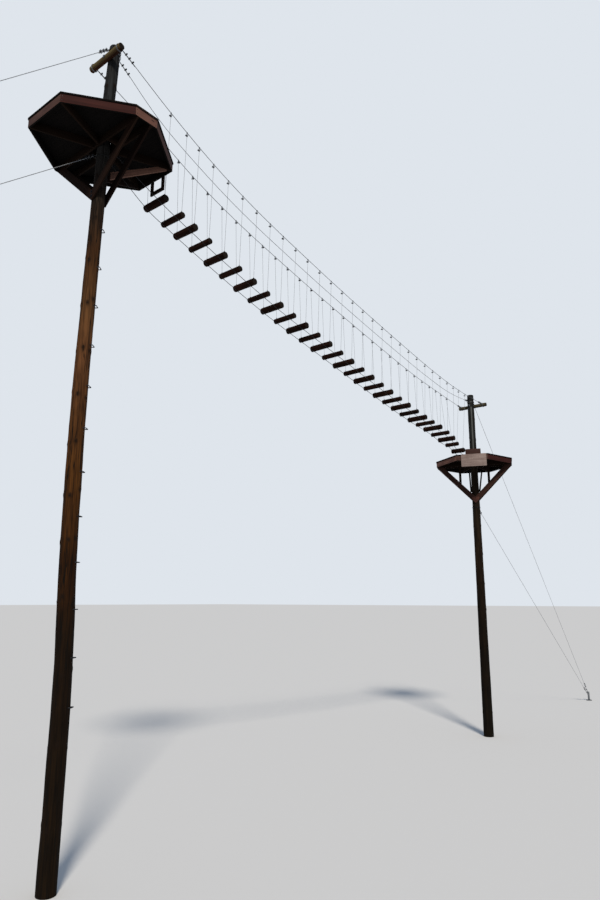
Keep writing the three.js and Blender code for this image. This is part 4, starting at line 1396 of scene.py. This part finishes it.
def turnbuckle():
    """An open-body turnbuckle along x: two rods between bosses, and a threaded eye at each end."""
    bm = bmesh.new()
    for y, places, thick in (
        (-0.017, (0.1, 0.2, 0.3), 0.006),
        (0.017, (0.1, 0.2, 0.3), 0.006),
        (0, (0.03, 0.08, 0.15), 0.007),
        (0, (0.25, 0.32, 0.37), 0.007),
    ):
        rope(bm, [Vector((x, y, 0)) for x in places], thick)
    turn = Matrix.Rotation(math.pi / 2, 4, "Y")
    for x in (0.085, 0.29):
        gather(bm, disc(0.024, 0.025, 8), Matrix.Translation((x, 0, 0)) @ turn)
    for x in (0.012, TURNBUCKLE - 0.012):
        eye(bm, (x, 0, 0), 0.02, 0.006)
    return bm


def back_guys(side, guys, name, node):
    """Two guys from a pole down to one screwed-in ground anchor, each with its turnbuckle."""
    ropes = bmesh.new()
    turns = bmesh.new()
    clips = bmesh.new()
    pole_clips = bmesh.new()
    *lines, anchor = guys
    for height, low in lines:
        x, held = held_at(side, height)
        centre = Vector((x, 0, height))
        start = centre + Vector((side * (held + GUY + ROPE_GAP), 0, 0))
        end = Vector((anchor - side * ANCHOR_EYE, 0, low))
        run = end - start
        along = run.normalized()
        rope(ropes, [start + run * (i / 12) - along * (TURNBUCKLE * i / 12) for i in range(13)], GUY)
        rope(turns, wound(centre, 2, held, GUY, 0.0 if side > 0 else math.pi), GUY)
        tied_end(turns, pole_clips, start, run, GUY)
        tied_end(ropes, clips, end - along * TURNBUCKLE, -run, GUY)
        gather(clips, turnbuckle(), along_x(-along, end))
        eye(clips, end + Vector((side * 0.028, 0, 0)), 0.03, 0.008)
    foot = Matrix.Translation((anchor, 0, 0))
    rod, rod_height, flange, thick, circle = ANCHOR
    gather(clips, disc(rod, rod_height, sides=24, ease=0.006, segments=2), foot)
    gather(clips, disc(flange, thick, sides=36, ease=0.003, segments=2), foot)
    sixth = math.pi / 3
    for place in arc((anchor, 0, thick), (circle, 0, 0), (0, circle, 0), sixth / 2, 5.5 * sixth, 5):
        bolt(clips, place, (0, 0, 1), 0.013)
    for face in turns.faces:
        face.material_index = 1
    gather(ropes, turns)
    piece(name, ropes, [guy_rope, grimy_rope], [node])
    piece(name + "_fittings", clips, [fitting_steel])
    piece(name + "_pole_clips", pole_clips, [dark_steel])


back_guys(-1, LEFT_GUYS, "tall_pole_back_guys", "left_back_guys")
back_guys(1, RIGHT_GUYS, "far_pole_back_guys", "right_back_guys")


# Floor, light and camera

def aim(level, height):
    """The direction at a height above a level one."""
    return level.normalized() * math.cos(height) + Vector((0, 0, math.sin(height)))


def studio():
    """A pale floor under a wide soft sun, with a pale backdrop that lights little by itself."""
    bm = bmesh.new()
    bmesh.ops.create_grid(bm, x_segments=1, y_segments=1, size=400.0)
    mesh = bpy.data.meshes.new("floor")
    bm.to_mesh(mesh)
    bm.free()
    made, tree = new_material("matt_pale_floor")
    close(tree, {"Base Color": linear("#d4d6d8"), "Roughness": 1.0}, gloss=0.0)
    mesh.materials.append(made)
    floor = bpy.data.objects.new("floor", mesh)
    floor.location = (0, 0, -0.002)
    scene.collection.objects.link(floor)

    world = bpy.data.worlds.new("backdrop")
    world.use_nodes = True
    tree = world.node_tree
    tree.nodes.clear()
    seen = add(tree, "Background", {"Color": linear("#dfe5ec"), "Strength": 1.0}).outputs["Background"]
    fill = add(tree, "Background", {"Color": linear("#c8d8ee"), "Strength": 0.45}).outputs["Background"]
    direct = add(tree, "LightPath").outputs["Is Camera Ray"]
    mixed = add(tree, "MixShader", {0: direct, 1: fill, 2: seen})
    add(tree, "OutputWorld", {"Surface": mixed.outputs["Shader"]})
    scene.world = world

    sun = bpy.data.lights.new("soft_sun", "SUN")
    sun.energy = 3.2
    sun.angle = math.radians(9)
    sun.color = linear("#fff3e2")[:3]
    lamp = bpy.data.objects.new("soft_sun", sun)
    lamp.rotation_mode = "QUATERNION"
    lamp.rotation_quaternion = aim(SUN_SIDE, SUN_HEIGHT).to_track_quat("Z", "Y")
    scene.collection.objects.link(lamp)
    scene.view_settings.view_transform = "Standard"


def make_camera():
    camera = bpy.data.cameras.new("camera")
    camera.lens = LENS
    camera.sensor_width = SENSOR
    camera.clip_start = 0.05
    camera.clip_end = 900.0
    made = bpy.data.objects.new("camera", camera)
    made.location = EYE * M
    made.rotation_mode = "QUATERNION"
    made.rotation_quaternion = aim(HEADING, PITCH).to_track_quat("-Z", "Y") @ Quaternion((0, 0, 1), ROLL)
    scene.collection.objects.link(made)
    scene.camera = made


studio()
make_camera()
